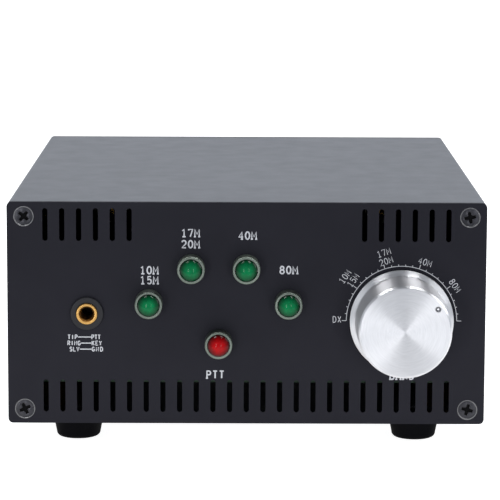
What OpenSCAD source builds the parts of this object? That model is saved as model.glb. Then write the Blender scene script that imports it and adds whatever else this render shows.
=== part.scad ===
// HF linear amplifier in a split extruded case. The front panel carries a band switch
// with a spun knob, five indicator lamps and a keying jack; the rear panel carries the
// coaxial sockets, the power inlet, the power rocker and a fan.
// Millimetres, +Z up, the front panel faces -Y. The origin is on the table, under the
// middle of the whole object.

/* [Case] */
// Outside width of the extruded case
case_w = 145; // [140:1:165]
// Outside height of the extruded case
case_h = 68; // [66:1:80]
// Length of the extruded shells between the two end panels
case_l = 180; // [176:1:230]
// Thickness of the extruded walls
wall = 2; // [1.8:0.1:2.4]
// Radius of the long outside corners of the shells and of the panels' corners
corner_r = 1.5; // [0.8:0.1:2]
// Height of the tongue that locks the two shells together
tongue_h = 1.6; // [1:0.1:2.5]
// Outer radius of the screw ports in the shells' corners
port_r = 3.4; // [3.2:0.1:3.8]
// Depth of the guide ribs on the side walls
rib_depth = 2.4; // [1.5:0.1:3]
// Thickness of the guide ribs
rib_t = 1.2; // [0.8:0.1:1.5]
// Distance of the guide groove from the seam between the shells
groove_z = 8; // [6:0.5:12]

/* [End panels] */
// Thickness of the front and rear panels
panel_t = 1.6; // [1.5:0.1:2]
// Distance of the panel screws from the panel's side edges
screw_inset_x = 5.1; // [4.8:0.1:5.6]
// Distance of the panel screws from the panel's upper and lower edges
screw_inset_z = 4.4; // [4.2:0.1:5]
// Width of a vent slot
vent_w = 1.6; // [1.2:0.1:2.4]
// Length of a vent slot
vent_len = 10; // [7:0.5:11]
// Distance from one vent slot to the next
vent_pitch = 5.08; // [4.6:0.02:5.1]
// Number of slots in the lower row
vent_count = 25; // [15:2:25]
// Number of slots at each end of the front panel's upper row
vent_side_count = 6; // [2:1:6]
// Height of the lower row's middle above the panel's lower edge
vent_low = 8.5; // [8:0.1:9]
// Depth of the upper row's middle below the panel's upper edge
vent_high = 6.9; // [6.7:0.1:8]

/* [Screws] */
// Thread diameter of the case screws
screw_d = 3; // [2.5:0.1:3]
// Head diameter of the countersunk screws
csk_head_d = 5.9; // [5.4:0.1:6]
// Diameter of the countersinks at the panel's face
csk_d = 6.4; // [6.3:0.1:6.8]
// Length of the panel screws
csk_len = 10; // [8:0.5:14]
// Head diameter of the pan head screws
pan_head_d = 5.6; // [5:0.1:6]
// Head height of the pan head screws
pan_head_h = 2; // [1.6:0.1:2.4]
// Length of the pan head screws under the head
pan_len = 8; // [7.6:0.1:8.3]

/* [Feet] */
// Height of the rubber feet
foot_h = 7; // [6:0.5:12]
// Diameter of a foot at the case
foot_top_d = 14; // [12:0.5:18]
// Diameter of a foot at the table
foot_low_d = 12; // [11:0.5:17]
// Radius of the rounded lower edge of a foot
foot_round = 1.4; // [0.6:0.1:1.6]
// Distance of the feet from the case's sides
foot_inset_x = 20.5; // [18:0.5:30]
// Distance of the feet from the front and rear panel faces
foot_inset_y = 15; // [13:0.5:30]
// Depth of the screw recess under a foot
foot_recess = 3.6; // [3:0.1:4]

/* [Lamps] */
// Sideways place of the red lamp, from the panel's middle
lamp_x = -8.45; // [-12:0.05:-6]
// Height of the red lamp, from the panel's middle
lamp_z = -8.9; // [-10:0.05:-6]
// Radius of the arc of green lamps about the red lamp
lamp_fan_r = 24.4; // [20:0.1:25]
// Angle between two green lamps on that arc
lamp_fan_step = 40; // [34:1:44]
// Outside diameter of a lamp bezel
lamp_d = 8.4; // [7.8:0.1:9]
// How far a bezel stands out of the panel
lamp_proud = 5.5; // [4:0.1:7]
// Diameter of a lens
lens_d = 7.2; // [6.6:0.1:7.4]
// Height of the lens dome above the bezel's rim
lens_dome = 1.9; // [1.2:0.1:2.4]
// Depth of the lens seat in the bezel
lens_seat = 2.6; // [2:0.1:3.5]
// Thread diameter of a bezel
lamp_thread_d = 6; // [5.4:0.1:6.2]
// Length of the bezel's thread behind the panel's face
lamp_len = 13; // [10:0.5:18]
// Bore through the thread of a bezel
lamp_bore_d = 4.4; // [3.8:0.1:4.6]
// Width across the corners of a lamp nut
lamp_nut_d = 9.2; // [8.6:0.1:10]
// Thickness of a lamp nut
lamp_nut_t = 2; // [1.5:0.1:3]

/* [Band switch] */
// Distance of the switch shaft from the panel's right edge
knob_inset = 25.5; // [24:0.1:28]
// Height of the switch shaft, from the panel's middle
knob_z = -2; // [-4:0.1:0]
// Diameter of the knob's skirt
skirt_d = 31.5; // [29.5:0.5:33]
// Thickness of the skirt's outer edge
skirt_edge = 0.8; // [0.5:0.1:1.2]
// Height of the skirt where it meets the knob's body
skirt_h = 1.7; // [1.5:0.1:2.5]
// Diameter of the knob's body above the skirt
body_d = 28.4; // [26:0.1:28.8]
// Diameter of the knob's front face, with its chamfer
face_d = 27.8; // [24:0.1:28]
// Width of the chamfer round the front face
face_chamfer = 0.6; // [0.3:0.1:1]
// Height of the knob
knob_h = 19; // [14:0.5:22]
// Gap between the knob and the panel
knob_gap = 1; // [0.6:0.1:1.5]
// Diameter of the recess in the knob's back
recess_d = 20; // [18:0.5:21]
// Depth of the recess in the knob's back
recess_h = 4; // [3.5:0.1:6]
// Angle of the pointer above the horizontal, as seen from the front
pointer_angle = 36; // [0:36:180]
// Distance of the pointer dimple from the knob's axis
pointer_r = 11.9; // [9:0.1:12]
// Diameter of the pointer dimple
pointer_d = 1.8; // [1:0.1:2]
// Depth of the pointer dimple
pointer_h = 0.4; // [0.2:0.1:0.8]
// Diameter of the switch shaft
shaft_d = 6; // [5:0.1:6.3]
// Depth of the shaft's seat in the knob
shaft_seat = 13; // [10:0.5:13]
// Diameter of the grub screw
grub_d = 3; // [2.5:0.1:3]
// Outside diameter of the threaded bushing
bushing_d = 9; // [8.6:0.1:9.5]
// Length of the bushing in front of the panel
bushing_front = 3.4; // [3:0.1:3.6]
// Thickness of the switch's mounting plate
plate_t = 2; // [1.5:0.1:3]
// Diameter of the mounting plate
plate_d = 26; // [25:0.5:28]
// Width across the corners of the switch nut
switch_nut_d = 13.8; // [13:0.1:15]
// Thickness of the switch nut
switch_nut_t = 2; // [1.5:0.1:2.2]
// Thickness of the washer under the nut
washer_t = 0.5; // [0.4:0.1:0.8]
// Diameter of the washer under the nut
washer_d = 14; // [13.5:0.1:16]
// Diameter of the switch wafers
wafer_d = 32; // [30:0.5:34]
// Thickness of the switch wafers
wafer_t = 1.6; // [1.2:0.1:2]
// Distance from the mounting plate to the first wafer, and on to the next
wafer_step = 9; // [7:0.5:11]
// Number of wafers
wafer_count = 2; // [1:1:2]
// Diameter of the rotors in the wafers
rotor_d = 15; // [13:0.5:16]
// Thickness of the rotors
rotor_t = 1.2; // [0.8:0.1:1.6]
// Distance of the tie rods from the shaft
tie_x = 10.2; // [10:0.1:10.6]
// Diameter of the tie rods' spacers
spacer_d = 3.8; // [3.2:0.1:4]
// Diameter of the tie rods
tie_d = 2.2; // [1.8:0.1:2.4]

/* [Keying jack] */
// Distance of the jack from the panel's left edge
jack_inset = 24.1; // [20:0.1:27]
// Height of the jack, from the panel's middle
jack_z = 0; // [-3:0.1:3]
// Outside diameter of the gold bushing
jack_d = 6.4; // [5.8:0.1:6.6]
// Bore of the gold bushing, for a 3.5 mm plug
jack_bore_d = 3.6; // [3.55:0.05:3.8]
// How far the bushing stands out of the panel
jack_proud = 1.7; // [1.4:0.1:3]
// Length of the bushing
jack_len = 9; // [7:0.5:10]
// Diameter of the black collar
collar_d = 10; // [9:0.1:11]
// Thickness of the black collar
collar_t = 1.1; // [0.8:0.1:1.3]
// Diameter of the jack's body behind the panel
jack_body_d = 9; // [8.4:0.1:10]
// Diameter of the chamber in the body, where the contact springs sit
jack_chamber_d = 5; // [4.6:0.1:5.6]
// Length of the jack's body behind the panel
jack_body_len = 16; // [14:0.5:20]

/* [Coaxial sockets] */
// Distance of the coaxial sockets from the panel's side edges
coax_inset = 22.5; // [21:0.5:24]
// Height of the coaxial sockets, from the panel's middle
coax_z = 9; // [7:0.5:10]
// Side of the square flange
coax_flange = 25.4; // [24:0.1:26]
// Thickness of the flange
coax_flange_t = 2; // [1.6:0.1:2.5]
// Distance between the flange's screws
coax_hole_pitch = 18.2; // [17.6:0.1:18.6]
// Outside diameter of the threaded barrel
coax_d = 15.8; // [15:0.1:16]
// Inside diameter of the barrel
coax_bore_d = 12.8; // [12:0.1:13.2]
// Length of the barrel
coax_len = 14; // [12:0.5:16]
// Depth of the insulator below the barrel's rim
coax_mouth = 8; // [7:0.1:8.5]
// Depth of the centre contact below the barrel's rim
coax_tip = 5; // [4.6:0.1:6]
// Outside diameter of the centre contact
coax_pin_d = 6; // [5.6:0.1:6.4]
// Bore of the centre contact
coax_pin_bore = 4; // [3.8:0.1:4.2]
// Depth of that bore
coax_pin_deep = 8; // [6:0.5:9]
// Length of the contact behind the panel
coax_tail = 6; // [5:0.5:9]

/* [Power inlet] */
// Distance of the power inlet from the panel's left edge
inlet_inset = 22.5; // [21:0.5:24]
// Height of the power inlet, from the panel's middle
inlet_z = -14; // [-15:0.5:-12]
// Width of the inlet's flange
inlet_flange_w = 22; // [20:0.5:24]
// Height of the inlet's flange
inlet_flange_h = 13; // [12:0.5:14]
// Width of the inlet's body
inlet_w = 18; // [17:0.5:19]
// Height of the inlet's body
inlet_h = 9; // [8.5:0.1:10]
// How far the body stands out of the panel
inlet_proud = 8; // [6:0.5:10]
// Length of the body behind the panel
inlet_tail = 8; // [7:0.5:12]
// Distance between the two contacts
inlet_pitch = 8.4; // [7.6:0.1:9]
// Outside diameter of a contact
inlet_pin_d = 4.8; // [4.6:0.1:5]
// Bore of a contact
inlet_bore_d = 3.6; // [3.4:0.1:3.8]

/* [Power rocker] */
// Distance of the rocker from the panel's right edge
rocker_inset = 22.5; // [21:0.5:24]
// Height of the rocker, from the panel's middle
rocker_z = -16; // [-17:0.5:-15]
// Width of the frame's flange
rocker_flange_w = 21; // [20:0.5:24]
// Height of the frame's flange
rocker_flange_h = 15; // [14.5:0.1:15.5]
// Thickness of the flange
rocker_flange_t = 1.8; // [1.4:0.1:2.2]
// Length of the frame behind the panel
rocker_tail = 13; // [11:0.5:16]
// Length of the rocker between its ends
rocker_len = 15.6; // [15:0.1:16]
// Width of the rocker
rocker_w = 10; // [9:0.1:10.4]
// Height of the rocker's ridge above its pivot
rocker_ridge = 4.2; // [3.8:0.1:4.6]
// Height of the rocker's ends above its pivot
rocker_end = 2.4; // [2:0.1:2.8]
// Depth of the pivot below the flange's face
rocker_depth = 2; // [1.6:0.1:2.4]
// Tilt of the rocker to each side of its middle
rocker_tilt = 12; // [8:1:14]
// Diameter of the rocker's pivot pins
pivot_d = 2.4; // [2:0.1:2.6]

/* [Fan] */
// Side of the square fan
fan_size = 50; // [48:0.5:50]
// Depth of the fan
fan_t = 15; // [14:0.5:20]
// Distance between the fan's screws
fan_hole_pitch = 40; // [39:0.1:41]
// Diameter of the fan's duct
duct_d = 46.4; // [45:0.1:46.6]
// Thickness of the motor base and its struts
base_t = 2.4; // [2:0.1:3]
// Diameter of the impeller's hub
hub_d = 22; // [18:0.5:24]
// Gap between the blade tips and the duct
blade_gap = 0.8; // [0.5:0.1:1.2]
// Number of blades
blade_count = 7; // [5:1:9]
// Thickness of a blade
blade_t = 1.2; // [1:0.1:1.6]
// Pitch angle of a blade
blade_angle = 42; // [35:1:50]
// Diameter of the impeller's shaft
fan_shaft_d = 3; // [2.4:0.1:3.4]
// Number of slots in the rear panel in front of the fan, in each of its three rows
fan_vent_count = 9; // [5:2:9]

/* [Ground stud] */
// Sideways place of the ground stud, from the panel's middle
stud_x = -31.5; // [-33:0.5:-31]
// Height of the ground stud above the panel's lower edge
stud_low = 8; // [7:0.5:10]
// Diameter of the post that takes a ring terminal
stud_d = 4; // [3.5:0.1:4.4]
// Diameter of the stud between its nuts
stud_base_d = 5; // [4.8:0.1:5.4]
// Length of the stud outside the panel
stud_len = 12; // [10:0.5:14]
// Width across the corners of the stud's nuts
stud_nut_d = 9.2; // [9:0.1:9.6]
// Thickness of the stud's nuts
stud_nut_t = 3; // [2.4:0.1:3.4]

/* [Board] */
// Gap between the main board and the case's outer sides
board_side_gap = 8.5; // [8:0.5:12]
// Length of the main board
board_l = 132; // [130:1:136]
// Thickness of the main board
board_t = 1.6; // [1.2:0.1:2]
// Distance of the main board from the front panel's back
board_gap = 12; // [11:0.5:16]
// Height of the standoffs under the board
standoff_h = 8; // [7.8:0.1:9]
// Width across the corners of the standoffs
standoff_d = 6.4; // [6:0.1:7]
// Distance of the standoffs from the board's edges
standoff_inset = 4.5; // [4:0.1:5.5]
// Width of the heat spreader
spreader_w = 96; // [90:1:100]
// Length of the heat spreader
spreader_l = 52; // [46:1:56]
// Thickness of the heat spreader
spreader_t = 6.5; // [6:0.1:7]
// Distance of the heat spreader's middle behind the board's middle
spreader_y = 22; // [18:1:26]

/* [Board parts] */
// Distance between the two power transistors
fet_pitch = 34; // [30:1:40]
// Length of a transistor's flange
fet_l = 23; // [22:0.5:25]
// Width of a transistor's flange and body
fet_w = 10; // [9:0.5:11]
// Thickness of a transistor's flange
fet_flange_t = 1.6; // [1.4:0.1:1.8]
// Height of a transistor's body above its flange
fet_h = 3.6; // [3.4:0.1:4.4]
// Outside diameter of the filter coils
coil_d = 13; // [11:0.5:13.5]
// Inside diameter of the filter coils
coil_hole_d = 6; // [5:0.5:7]
// Height of the filter coils
coil_h = 6; // [5:0.5:7]
// Distance from one filter coil to the next
coil_pitch = 16; // [14.5:0.5:17]
// Number of filter coils in a row
coil_count = 5; // [3:1:5]
// Height of the relays
relay_h = 11; // [10:0.5:14]
// Length of the relays
relay_l = 15; // [12:0.5:15.5]
// Width of the relays
relay_w = 10.5; // [9:0.5:11]
// Diameter of the bulk capacitors
cap_d = 10; // [8:0.5:12]
// Height of the bulk capacitors
cap_h = 18; // [14:0.5:22]
// Distance from one bulk capacitor to the next
cap_pitch = 13; // [12.5:0.5:15]
// Diameter of the lamps' and the jack's leads
lead_d = 2; // [1.6:0.1:2.2]
// Diameter of the power leads
power_lead_d = 3.6; // [3:0.1:4]
// Bend radius of the leads
lead_bend = 5; // [4.5:0.5:6]

/* [Fits] */
// Radial clearance of a turning shaft or pivot in its bore
running_fit = 0.05; // [0.02:0.01:0.08]
// Radial clearance of a screw or stud in its hole
screw_fit = 0.1; // [0.05:0.05:0.2]
// Radial clearance of a seated or pushed-in piece
seat_fit = 0.05; // [0.03:0.01:0.1]
// Clearance between the panel's openings and what passes through them
panel_fit = 0.2; // [0.1:0.05:0.3]

/* [Hidden] */
$fn = 64;

eps = 0.01;              // overlap that makes a cut pass its face
rim_chamfer = 0.4;       // chamfer on rims and screw heads
seam_fit = 0.1;          // clearance round the case's tongue
vent_gap = 2.4;          // gap between the rows of slots in front of the fan
grub_z = 8;              // height of the grub screw above the knob's back
inlet_flange_t = 1.6;    // thickness of the power inlet's flange
inlet_key = 2.4;         // chamfer that keys the power inlet
inlet_floor = 0.5;       // ends of the power contacts' bores, above the panel's face
inlet_pin_tail = 0.5;    // length of the power contacts behind the inlet's body
inlet_sink = 0.5;        // depth of the power contacts below the inlet's face
rocker_lip = 1.2;        // overhang of the rocker frame's flange
rocker_gap = 0.4;        // gap round the rocker in its well
rocker_well = 8;         // depth of the rocker's well
pivot_len = 0.8;         // length of the rocker's pivot pins
strut_w = 4;             // width of the fan's struts
core_in = [14, 14, 8];   // input transformer's core
core_out = [28, 24, 14]; // output transformer's core
core_hole_d = 4.6;       // holes in the transformers' cores
core_gap = 4.5;          // gap between the filter coils and the input transformer's core
coil_edge_x = 14;        // first filter coil's distance from the board's side
coil_edge_y = 42;        // rear row of filter coils, from the board's front edge
filter_cap_l = 5;        // length of the filter capacitors
cap_edge_x = 12;         // bulk capacitors' distance from the board's side
cap_edge_y = 14;         // bulk capacitors' distance from the board's rear edge
core_out_lap = 6;        // how far the output transformer reaches over the spreader
grub_sink = 2;           // depth of the grub screw below the knob's side
grub_socket = 1.5;       // depth of the grub screw's socket
hub_lap = 0.4;           // how far the blades reach into the hub
fet_hole_inset = 2.9;    // transistor screws' distance from the flange's ends
fet_body_inset = 6;      // transistor body's distance from the flange's ends
fet_lead_t = 0.3;        // thickness of the transistors' leads
bypass_inset = 6;        // bypass relay's distance from the board's side
bypass_edge_y = 30;      // bypass relay's front end, from the board's rear edge
bypass_l = 22.5;         // length of the bypass relay
part_gap = 1;            // gap between neighbours on the board
window_gap = 0.5;        // gap round a transistor in its window
fet_lead_inset = 1;      // transistor leads' distance from the body's ends
shaft_over = 2;          // switch shaft's length past the last wafer
rod_over = 1.5;          // tie rods' length past the last wafer
jack_back_t = 2;         // thickness of the jack's closed back
coax_step = 2;           // how far the centre contact stands behind its insulator
stud_over = 1;           // length of the ground stud's base past its nuts
fan_play = 0.5;          // play between the impeller and what it turns in
strut_lap = 1;           // how far the fan's struts reach into the motor base and the rim
lead_run = 3;            // straight start of a lead
lead_land = 5;           // power leads' distance from the board's rear edge

// Levels and depths
case_z = foot_h;                         // underside of the case
mid_z = case_z + case_h / 2;             // middle of the panels
floor_z = case_z + wall;                 // inner floor of the lower shell
front_reach = knob_gap + knob_h;         // furthest piece in front of the front panel
rear_reach = coax_flange_t + coax_len;   // furthest piece behind the rear panel
whole_l = front_reach + case_l + 2 * panel_t + rear_reach;
front_y = front_reach - whole_l / 2;     // front panel's face
shell_y = front_y + panel_t;             // front ends of the shells
rear_in_y = shell_y + case_l;            // rear panel's inner face
rear_y = rear_in_y + panel_t;            // rear panel's outer face

// Places across the panels
knob_x = case_w / 2 - knob_inset;
jack_x = jack_inset - case_w / 2;
coax_x = case_w / 2 - coax_inset;
inlet_x = inlet_inset - case_w / 2;
rocker_x = case_w / 2 - rocker_inset;
stud_z = stud_low - case_h / 2;

// Screws
port_x = case_w / 2 - screw_inset_x;
port_z = case_h / 2 - screw_inset_z;
screw_hole_d = screw_d + 2 * screw_fit;
csk_sink = (csk_d - csk_head_d) / 2;     // how deep a countersunk head lies in its seat
csk_head_h = (csk_head_d - screw_d) / 2;
cross_w = 0.7;                           // width of a cross recess
cross_l = 3.4;                           // length of a cross recess
cross_h = 1.1;                           // depth of a cross recess

// Lamps: the red one, then the green ones on their arc
lamp_places = [
    for (i = [0:3])
        let (a = 90 + (1.5 - i) * lamp_fan_step)
        [lamp_x + lamp_fan_r * cos(a), lamp_z + lamp_fan_r * sin(a)],
    [lamp_x, lamp_z]
];

// Band switch, as distances from the panel's face along the shaft
shaft_front = knob_gap + shaft_seat;
plate_back = panel_t + plate_t;
wafer_backs = [for (i = [1:wafer_count]) plate_back + i * (wafer_step + wafer_t)];
shaft_back = wafer_backs[wafer_count - 1] + shaft_over;
switch_end = wafer_backs[wafer_count - 1] + rod_over;

// Fan, as distances from the rear panel's inner face
cup_front = 1.5;                          // front of the impeller
cup_wall = 1.5;                           // wall of the impeller's cup
cup_back = fan_t - base_t - 2 * fan_play; // back edge of the impeller
bearing_d = fan_shaft_d + 3;              // motor's bearing tube
bearing_front = cup_front + cup_wall + fan_play;

// Board
board_w = case_w - 2 * board_side_gap;
board_z = floor_z + standoff_h;           // underside of the board
board_top = board_z + board_t;
board_y = shell_y + board_gap + board_l / 2;
fet_y = board_y + spreader_y;
spreader_top = floor_z + spreader_t;
window_w = fet_w + 2 * window_gap;        // board window round a transistor
window_l = fet_l + 2 * window_gap;
inlet_end = rear_in_y - inlet_tail - inlet_pin_tail;  // rear ends of the power contacts
coil_x = coil_edge_x - board_w / 2;
core_in_x = coil_x + (coil_count - 1) * coil_pitch + coil_d / 2 + core_gap + core_in[0] / 2;
coil_y = coil_edge_y - board_l / 2;

// ---------------------------------------------------------------- helpers

// Local +Z points out of the front (towards -Y), local +Y stays up.
module facing_front(x, y, z) {
    translate([x, y, z]) rotate([90, 0, 0]) children();
}

// Local +Z points out of the rear (towards +Y), local +Y points down.
module facing_rear(x, y, z) {
    translate([x, y, z]) rotate([-90, 0, 0]) children();
}

// Draws a flat shape of X and Z from depth y on, len thick.
module along_depth(y, len) {
    translate([0, y + len, 0]) rotate([90, 0, 0]) linear_extrude(len) children();
}

// Puts children at the four corners of a rectangle.
module corners(x, y) {
    for (sx = [-1, 1], sy = [-1, 1]) translate([sx * x, sy * y]) children();
}

module round_rect(w, h, r) {
    square([w - 2 * r, h], center = true);
    square([w, h - 2 * r], center = true);
    corners(w / 2 - r, h / 2 - r) circle(r);
}

module slot(w, len) {
    square([w, len - w], center = true);
    for (s = [-1, 1]) translate([0, s * (len - w) / 2]) circle(d = w);
}

module ring(outer, inner) {
    difference() {
        circle(d = outer);
        circle(d = inner);
    }
}

module tube(outer, inner, len) {
    linear_extrude(len) ring(outer, inner);
}

module hex_nut(across, hole, len) {
    linear_extrude(len) difference() {
        circle(d = across, $fn = 6);
        circle(d = hole);
    }
}

module cross_recess() {
    for (a = [0, 90]) rotate(a) translate([-cross_l / 2, -cross_w / 2, -cross_h])
        cube([cross_l, cross_w, cross_h + eps]);
}

// A countersunk screw, its head's face at z = 0 and its shank downwards.
module csk_screw() {
    difference() {
        rotate_extrude() polygon([
            [0, 0], [csk_head_d / 2, 0], [screw_d / 2, -csk_head_h],
            [screw_d / 2, -csk_len], [0, -csk_len]
        ]);
        cross_recess();
    }
}

// A pan head screw, its head's seat at z = 0 and its shank downwards.
module pan_screw(len) {
    difference() {
        rotate_extrude() polygon([
            [0, pan_head_h], [pan_head_d / 2 - rim_chamfer * 2, pan_head_h],
            [pan_head_d / 2, pan_head_h - rim_chamfer * 2], [pan_head_d / 2, 0],
            [screw_d / 2, 0], [screw_d / 2, -len], [0, -len]
        ]);
        translate([0, 0, pan_head_h]) cross_recess();
    }
}

// ---------------------------------------------------------------- case

module shell_outline() {
    inner_w = case_w - 2 * wall;
    inner_h = case_h - 2 * wall;
    difference() {
        round_rect(case_w, case_h, corner_r);
        square([inner_w, inner_h], center = true);
    }
    intersection() {
        corners(port_x, port_z) circle(port_r);
        square([inner_w + eps, inner_h + eps], center = true);
    }
    for (sx = [-1, 1], sz = [-1, 1], edge = [0, 1])
        translate([
            sx * (inner_w / 2 - rib_depth / 2),
            sz * (groove_z + (edge - 0.5) * (rib_t + board_t + 2 * panel_fit))
        ])
            square([rib_depth + 2 * eps, rib_t], center = true);
}

// The strip of the side walls that the lower shell's tongue takes.
module tongue(clearance) {
    for (sx = [-1, 1])
        translate([sx * (case_w / 2 - wall * 0.75), (tongue_h + clearance - wall) / 2])
            square([wall / 2 + 2 * clearance, tongue_h + clearance + wall], center = true);
}

module shell_holes() {
    corners(port_x, port_z) circle(d = screw_hole_d);
}

module half_plane(sz) {
    translate([-case_w, sz > 0 ? 0 : -case_h]) square([2 * case_w, case_h]);
}

module foot_places() {
    for (sx = [-1, 1], y = [front_y + foot_inset_y, rear_y - foot_inset_y])
        translate([sx * (case_w / 2 - foot_inset_x), y, 0]) children();
}

module case_lower() {
    color("#2b2c30") difference() {
        translate([0, 0, mid_z]) along_depth(shell_y, case_l) difference() {
            union() {
                intersection() {
                    shell_outline();
                    half_plane(-1);
                }
                tongue(-seam_fit / 2);
            }
            shell_holes();
        }
        foot_places() translate([0, 0, case_z - eps]) cylinder(d = screw_hole_d, h = wall + 2 * eps);
        spreader_screw_places() translate([0, 0, spreader_top - pan_len - screw_fit])
            cylinder(d = screw_hole_d, h = wall);
    }
}

module case_upper() {
    color("#2b2c30") translate([0, 0, mid_z]) along_depth(shell_y, case_l) difference() {
        intersection() {
            shell_outline();
            half_plane(1);
        }
        tongue(seam_fit / 2);
        shell_holes();
    }
}

module foot() {
    color("#151517") difference() {
        rotate_extrude() {
            polygon([
                [0, 0], [foot_low_d / 2 - foot_round, 0], [foot_low_d / 2, foot_round],
                [foot_top_d / 2, foot_h], [0, foot_h]
            ]);
            translate([foot_low_d / 2 - foot_round, foot_round]) intersection() {
                circle(foot_round);
                translate([0, -foot_round]) square(foot_round);
            }
        }
        translate([0, 0, -eps]) cylinder(d = pan_head_d + 4 * panel_fit, h = foot_recess + eps);
        cylinder(d = screw_hole_d, h = 3 * foot_h, center = true);
    }
}

module foot_at(sx, y) {
    translate([sx * (case_w / 2 - foot_inset_x), y, 0]) foot();
}

module foot_screws() {
    // Only as long as the foot's rubber and the case's floor
    color("#8b8d92") foot_places() translate([0, 0, foot_recess]) rotate([180, 0, 0])
        pan_screw(foot_h - foot_recess + wall - rim_chamfer / 2);
}

// ---------------------------------------------------------------- panels

module lower_vents() {
    for (i = [0:vent_count - 1])
        translate([(i - (vent_count - 1) / 2) * vent_pitch, vent_low - case_h / 2])
            slot(vent_w, vent_len);
}

module upper_vents() {
    for (s = [-1, 1], i = [0:vent_side_count - 1])
        translate([
            s * ((vent_count - 1) / 2 - i) * vent_pitch,
            case_h / 2 - vent_high
        ])
            slot(vent_w, vent_len);
}

module panel_blank() {
    difference() {
        round_rect(case_w, case_h, corner_r);
        corners(port_x, port_z) circle(d = screw_hole_d);
    }
}

module countersinks() {
    corners(port_x, port_z) translate([0, 0, -(csk_d - screw_hole_d) / 2])
        cylinder(
            h = (csk_d - screw_hole_d) / 2 + eps,
            d1 = screw_hole_d, d2 = csk_d + 2 * eps
        );
}

module front_panel() {
    color("#33343a") difference() {
        translate([0, 0, mid_z]) along_depth(front_y, panel_t) difference() {
            panel_blank();
            lower_vents();
            upper_vents();
            for (p = lamp_places) translate(p) circle(d = lamp_thread_d + 2 * panel_fit);
            translate([knob_x, knob_z]) circle(d = bushing_d + 2 * panel_fit);
            translate([jack_x, jack_z]) circle(d = jack_d + 2 * panel_fit);
        }
        facing_front(0, front_y, mid_z) countersinks();
    }
}

module rear_panel() {
    color("#33343a") difference() {
        translate([0, 0, mid_z]) along_depth(rear_in_y, panel_t) difference() {
            panel_blank();
            for (s = [-1, 1]) translate([s * coax_x, coax_z]) {
                circle(d = coax_bore_d + 2 * panel_fit);
                corners(coax_hole_pitch / 2, coax_hole_pitch / 2) circle(d = screw_hole_d);
            }
            translate([inlet_x, inlet_z])
                square([inlet_w + 2 * panel_fit, inlet_h + 2 * panel_fit], center = true);
            translate([rocker_x, rocker_z]) square([
                rocker_flange_w - 2 * rocker_lip + 2 * panel_fit,
                rocker_flange_h - 2 * rocker_lip + 2 * panel_fit
            ], center = true);
            translate([stud_x, stud_z]) circle(d = stud_base_d + 2 * screw_fit);
            corners(fan_hole_pitch / 2, fan_hole_pitch / 2) circle(d = screw_hole_d);
            for (row = [-1:1], i = [0:fan_vent_count - 1])
                translate([
                    (i - (fan_vent_count - 1) / 2) * vent_pitch,
                    row * (vent_len + vent_gap)
                ])
                    slot(vent_w, vent_len);
        }
        facing_rear(0, rear_y, mid_z) countersinks();
    }
}

module front_panel_screws() {
    color("#1b1b1e") facing_front(0, front_y + csk_sink, mid_z)
        corners(port_x, port_z) csk_screw();
}

module rear_panel_screws() {
    color("#1b1b1e") facing_rear(0, rear_y - csk_sink, mid_z)
        corners(port_x, port_z) csk_screw();
}

// ---------------------------------------------------------------- lamps

module at_lamp(i) {
    facing_front(lamp_places[i][0], front_y, mid_z + lamp_places[i][1]) children();
}

module lamp_bezel(i) {
    color("#c9cacd") at_lamp(i) difference() {
        rotate_extrude() polygon([
            [0, -lamp_len], [lamp_thread_d / 2, -lamp_len], [lamp_thread_d / 2, 0],
            [lamp_d / 2, 0], [lamp_d / 2, lamp_proud - rim_chamfer / 2],
            [lamp_d / 2 - rim_chamfer / 2, lamp_proud], [0, lamp_proud]
        ]);
        translate([0, 0, lamp_proud - lens_seat])
            cylinder(d = lens_d + 2 * seat_fit, h = lens_seat + eps);
        translate([0, 0, -lamp_len - eps])
            cylinder(d = lamp_bore_d + 2 * seat_fit, h = lamp_len + lamp_proud);
    }
}

module lamp_lens(i, colour) {
    dome_r = (pow(lens_d / 2, 2) + pow(lens_dome, 2)) / (2 * lens_dome);
    color(colour) at_lamp(i) rotate_extrude() {
        translate([0, lamp_proud - lens_seat]) square([lens_d / 2, lens_seat]);
        translate([0, -lamp_len + lead_d])
            square([lamp_bore_d / 2, lamp_len + lamp_proud - lens_seat - lead_d + eps]);
        intersection() {
            translate([0, lamp_proud + lens_dome - dome_r]) circle(dome_r);
            translate([0, lamp_proud - eps]) square([lens_d / 2, lens_dome + 2 * eps]);
        }
    }
}

module lamp_nuts() {
    color("#b9babd") for (i = [0:4]) at_lamp(i) translate([0, 0, -panel_t - lamp_nut_t])
        hex_nut(lamp_nut_d, lamp_thread_d + 2 * screw_fit, lamp_nut_t);
}

// ---------------------------------------------------------------- band switch

module at_switch(out) {
    facing_front(knob_x, front_y - out, mid_z + knob_z) children();
}

module band_knob() {
    color("#d5d6d9") at_switch(knob_gap) difference() {
        rotate_extrude($fn = 128) polygon([
            [0, 0], [skirt_d / 2 - rim_chamfer / 2, 0], [skirt_d / 2, rim_chamfer / 2],
            [skirt_d / 2, skirt_edge], [body_d / 2, skirt_h],
            [face_d / 2, knob_h - face_chamfer], [face_d / 2 - face_chamfer, knob_h],
            [0, knob_h]
        ]);
        translate([0, 0, -eps]) cylinder(d = recess_d, h = recess_h + eps);
        cylinder(d = shaft_d + 2 * seat_fit, h = shaft_seat + eps);
        rotate(pointer_angle) translate([pointer_r, 0, knob_h - pointer_h])
            cylinder(d = pointer_d, h = 2 * pointer_h);
        rotate(pointer_angle) translate([0, 0, grub_z]) rotate([0, -90, 0])
            cylinder(d = grub_d + 2 * screw_fit, h = body_d);
    }
}

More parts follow.
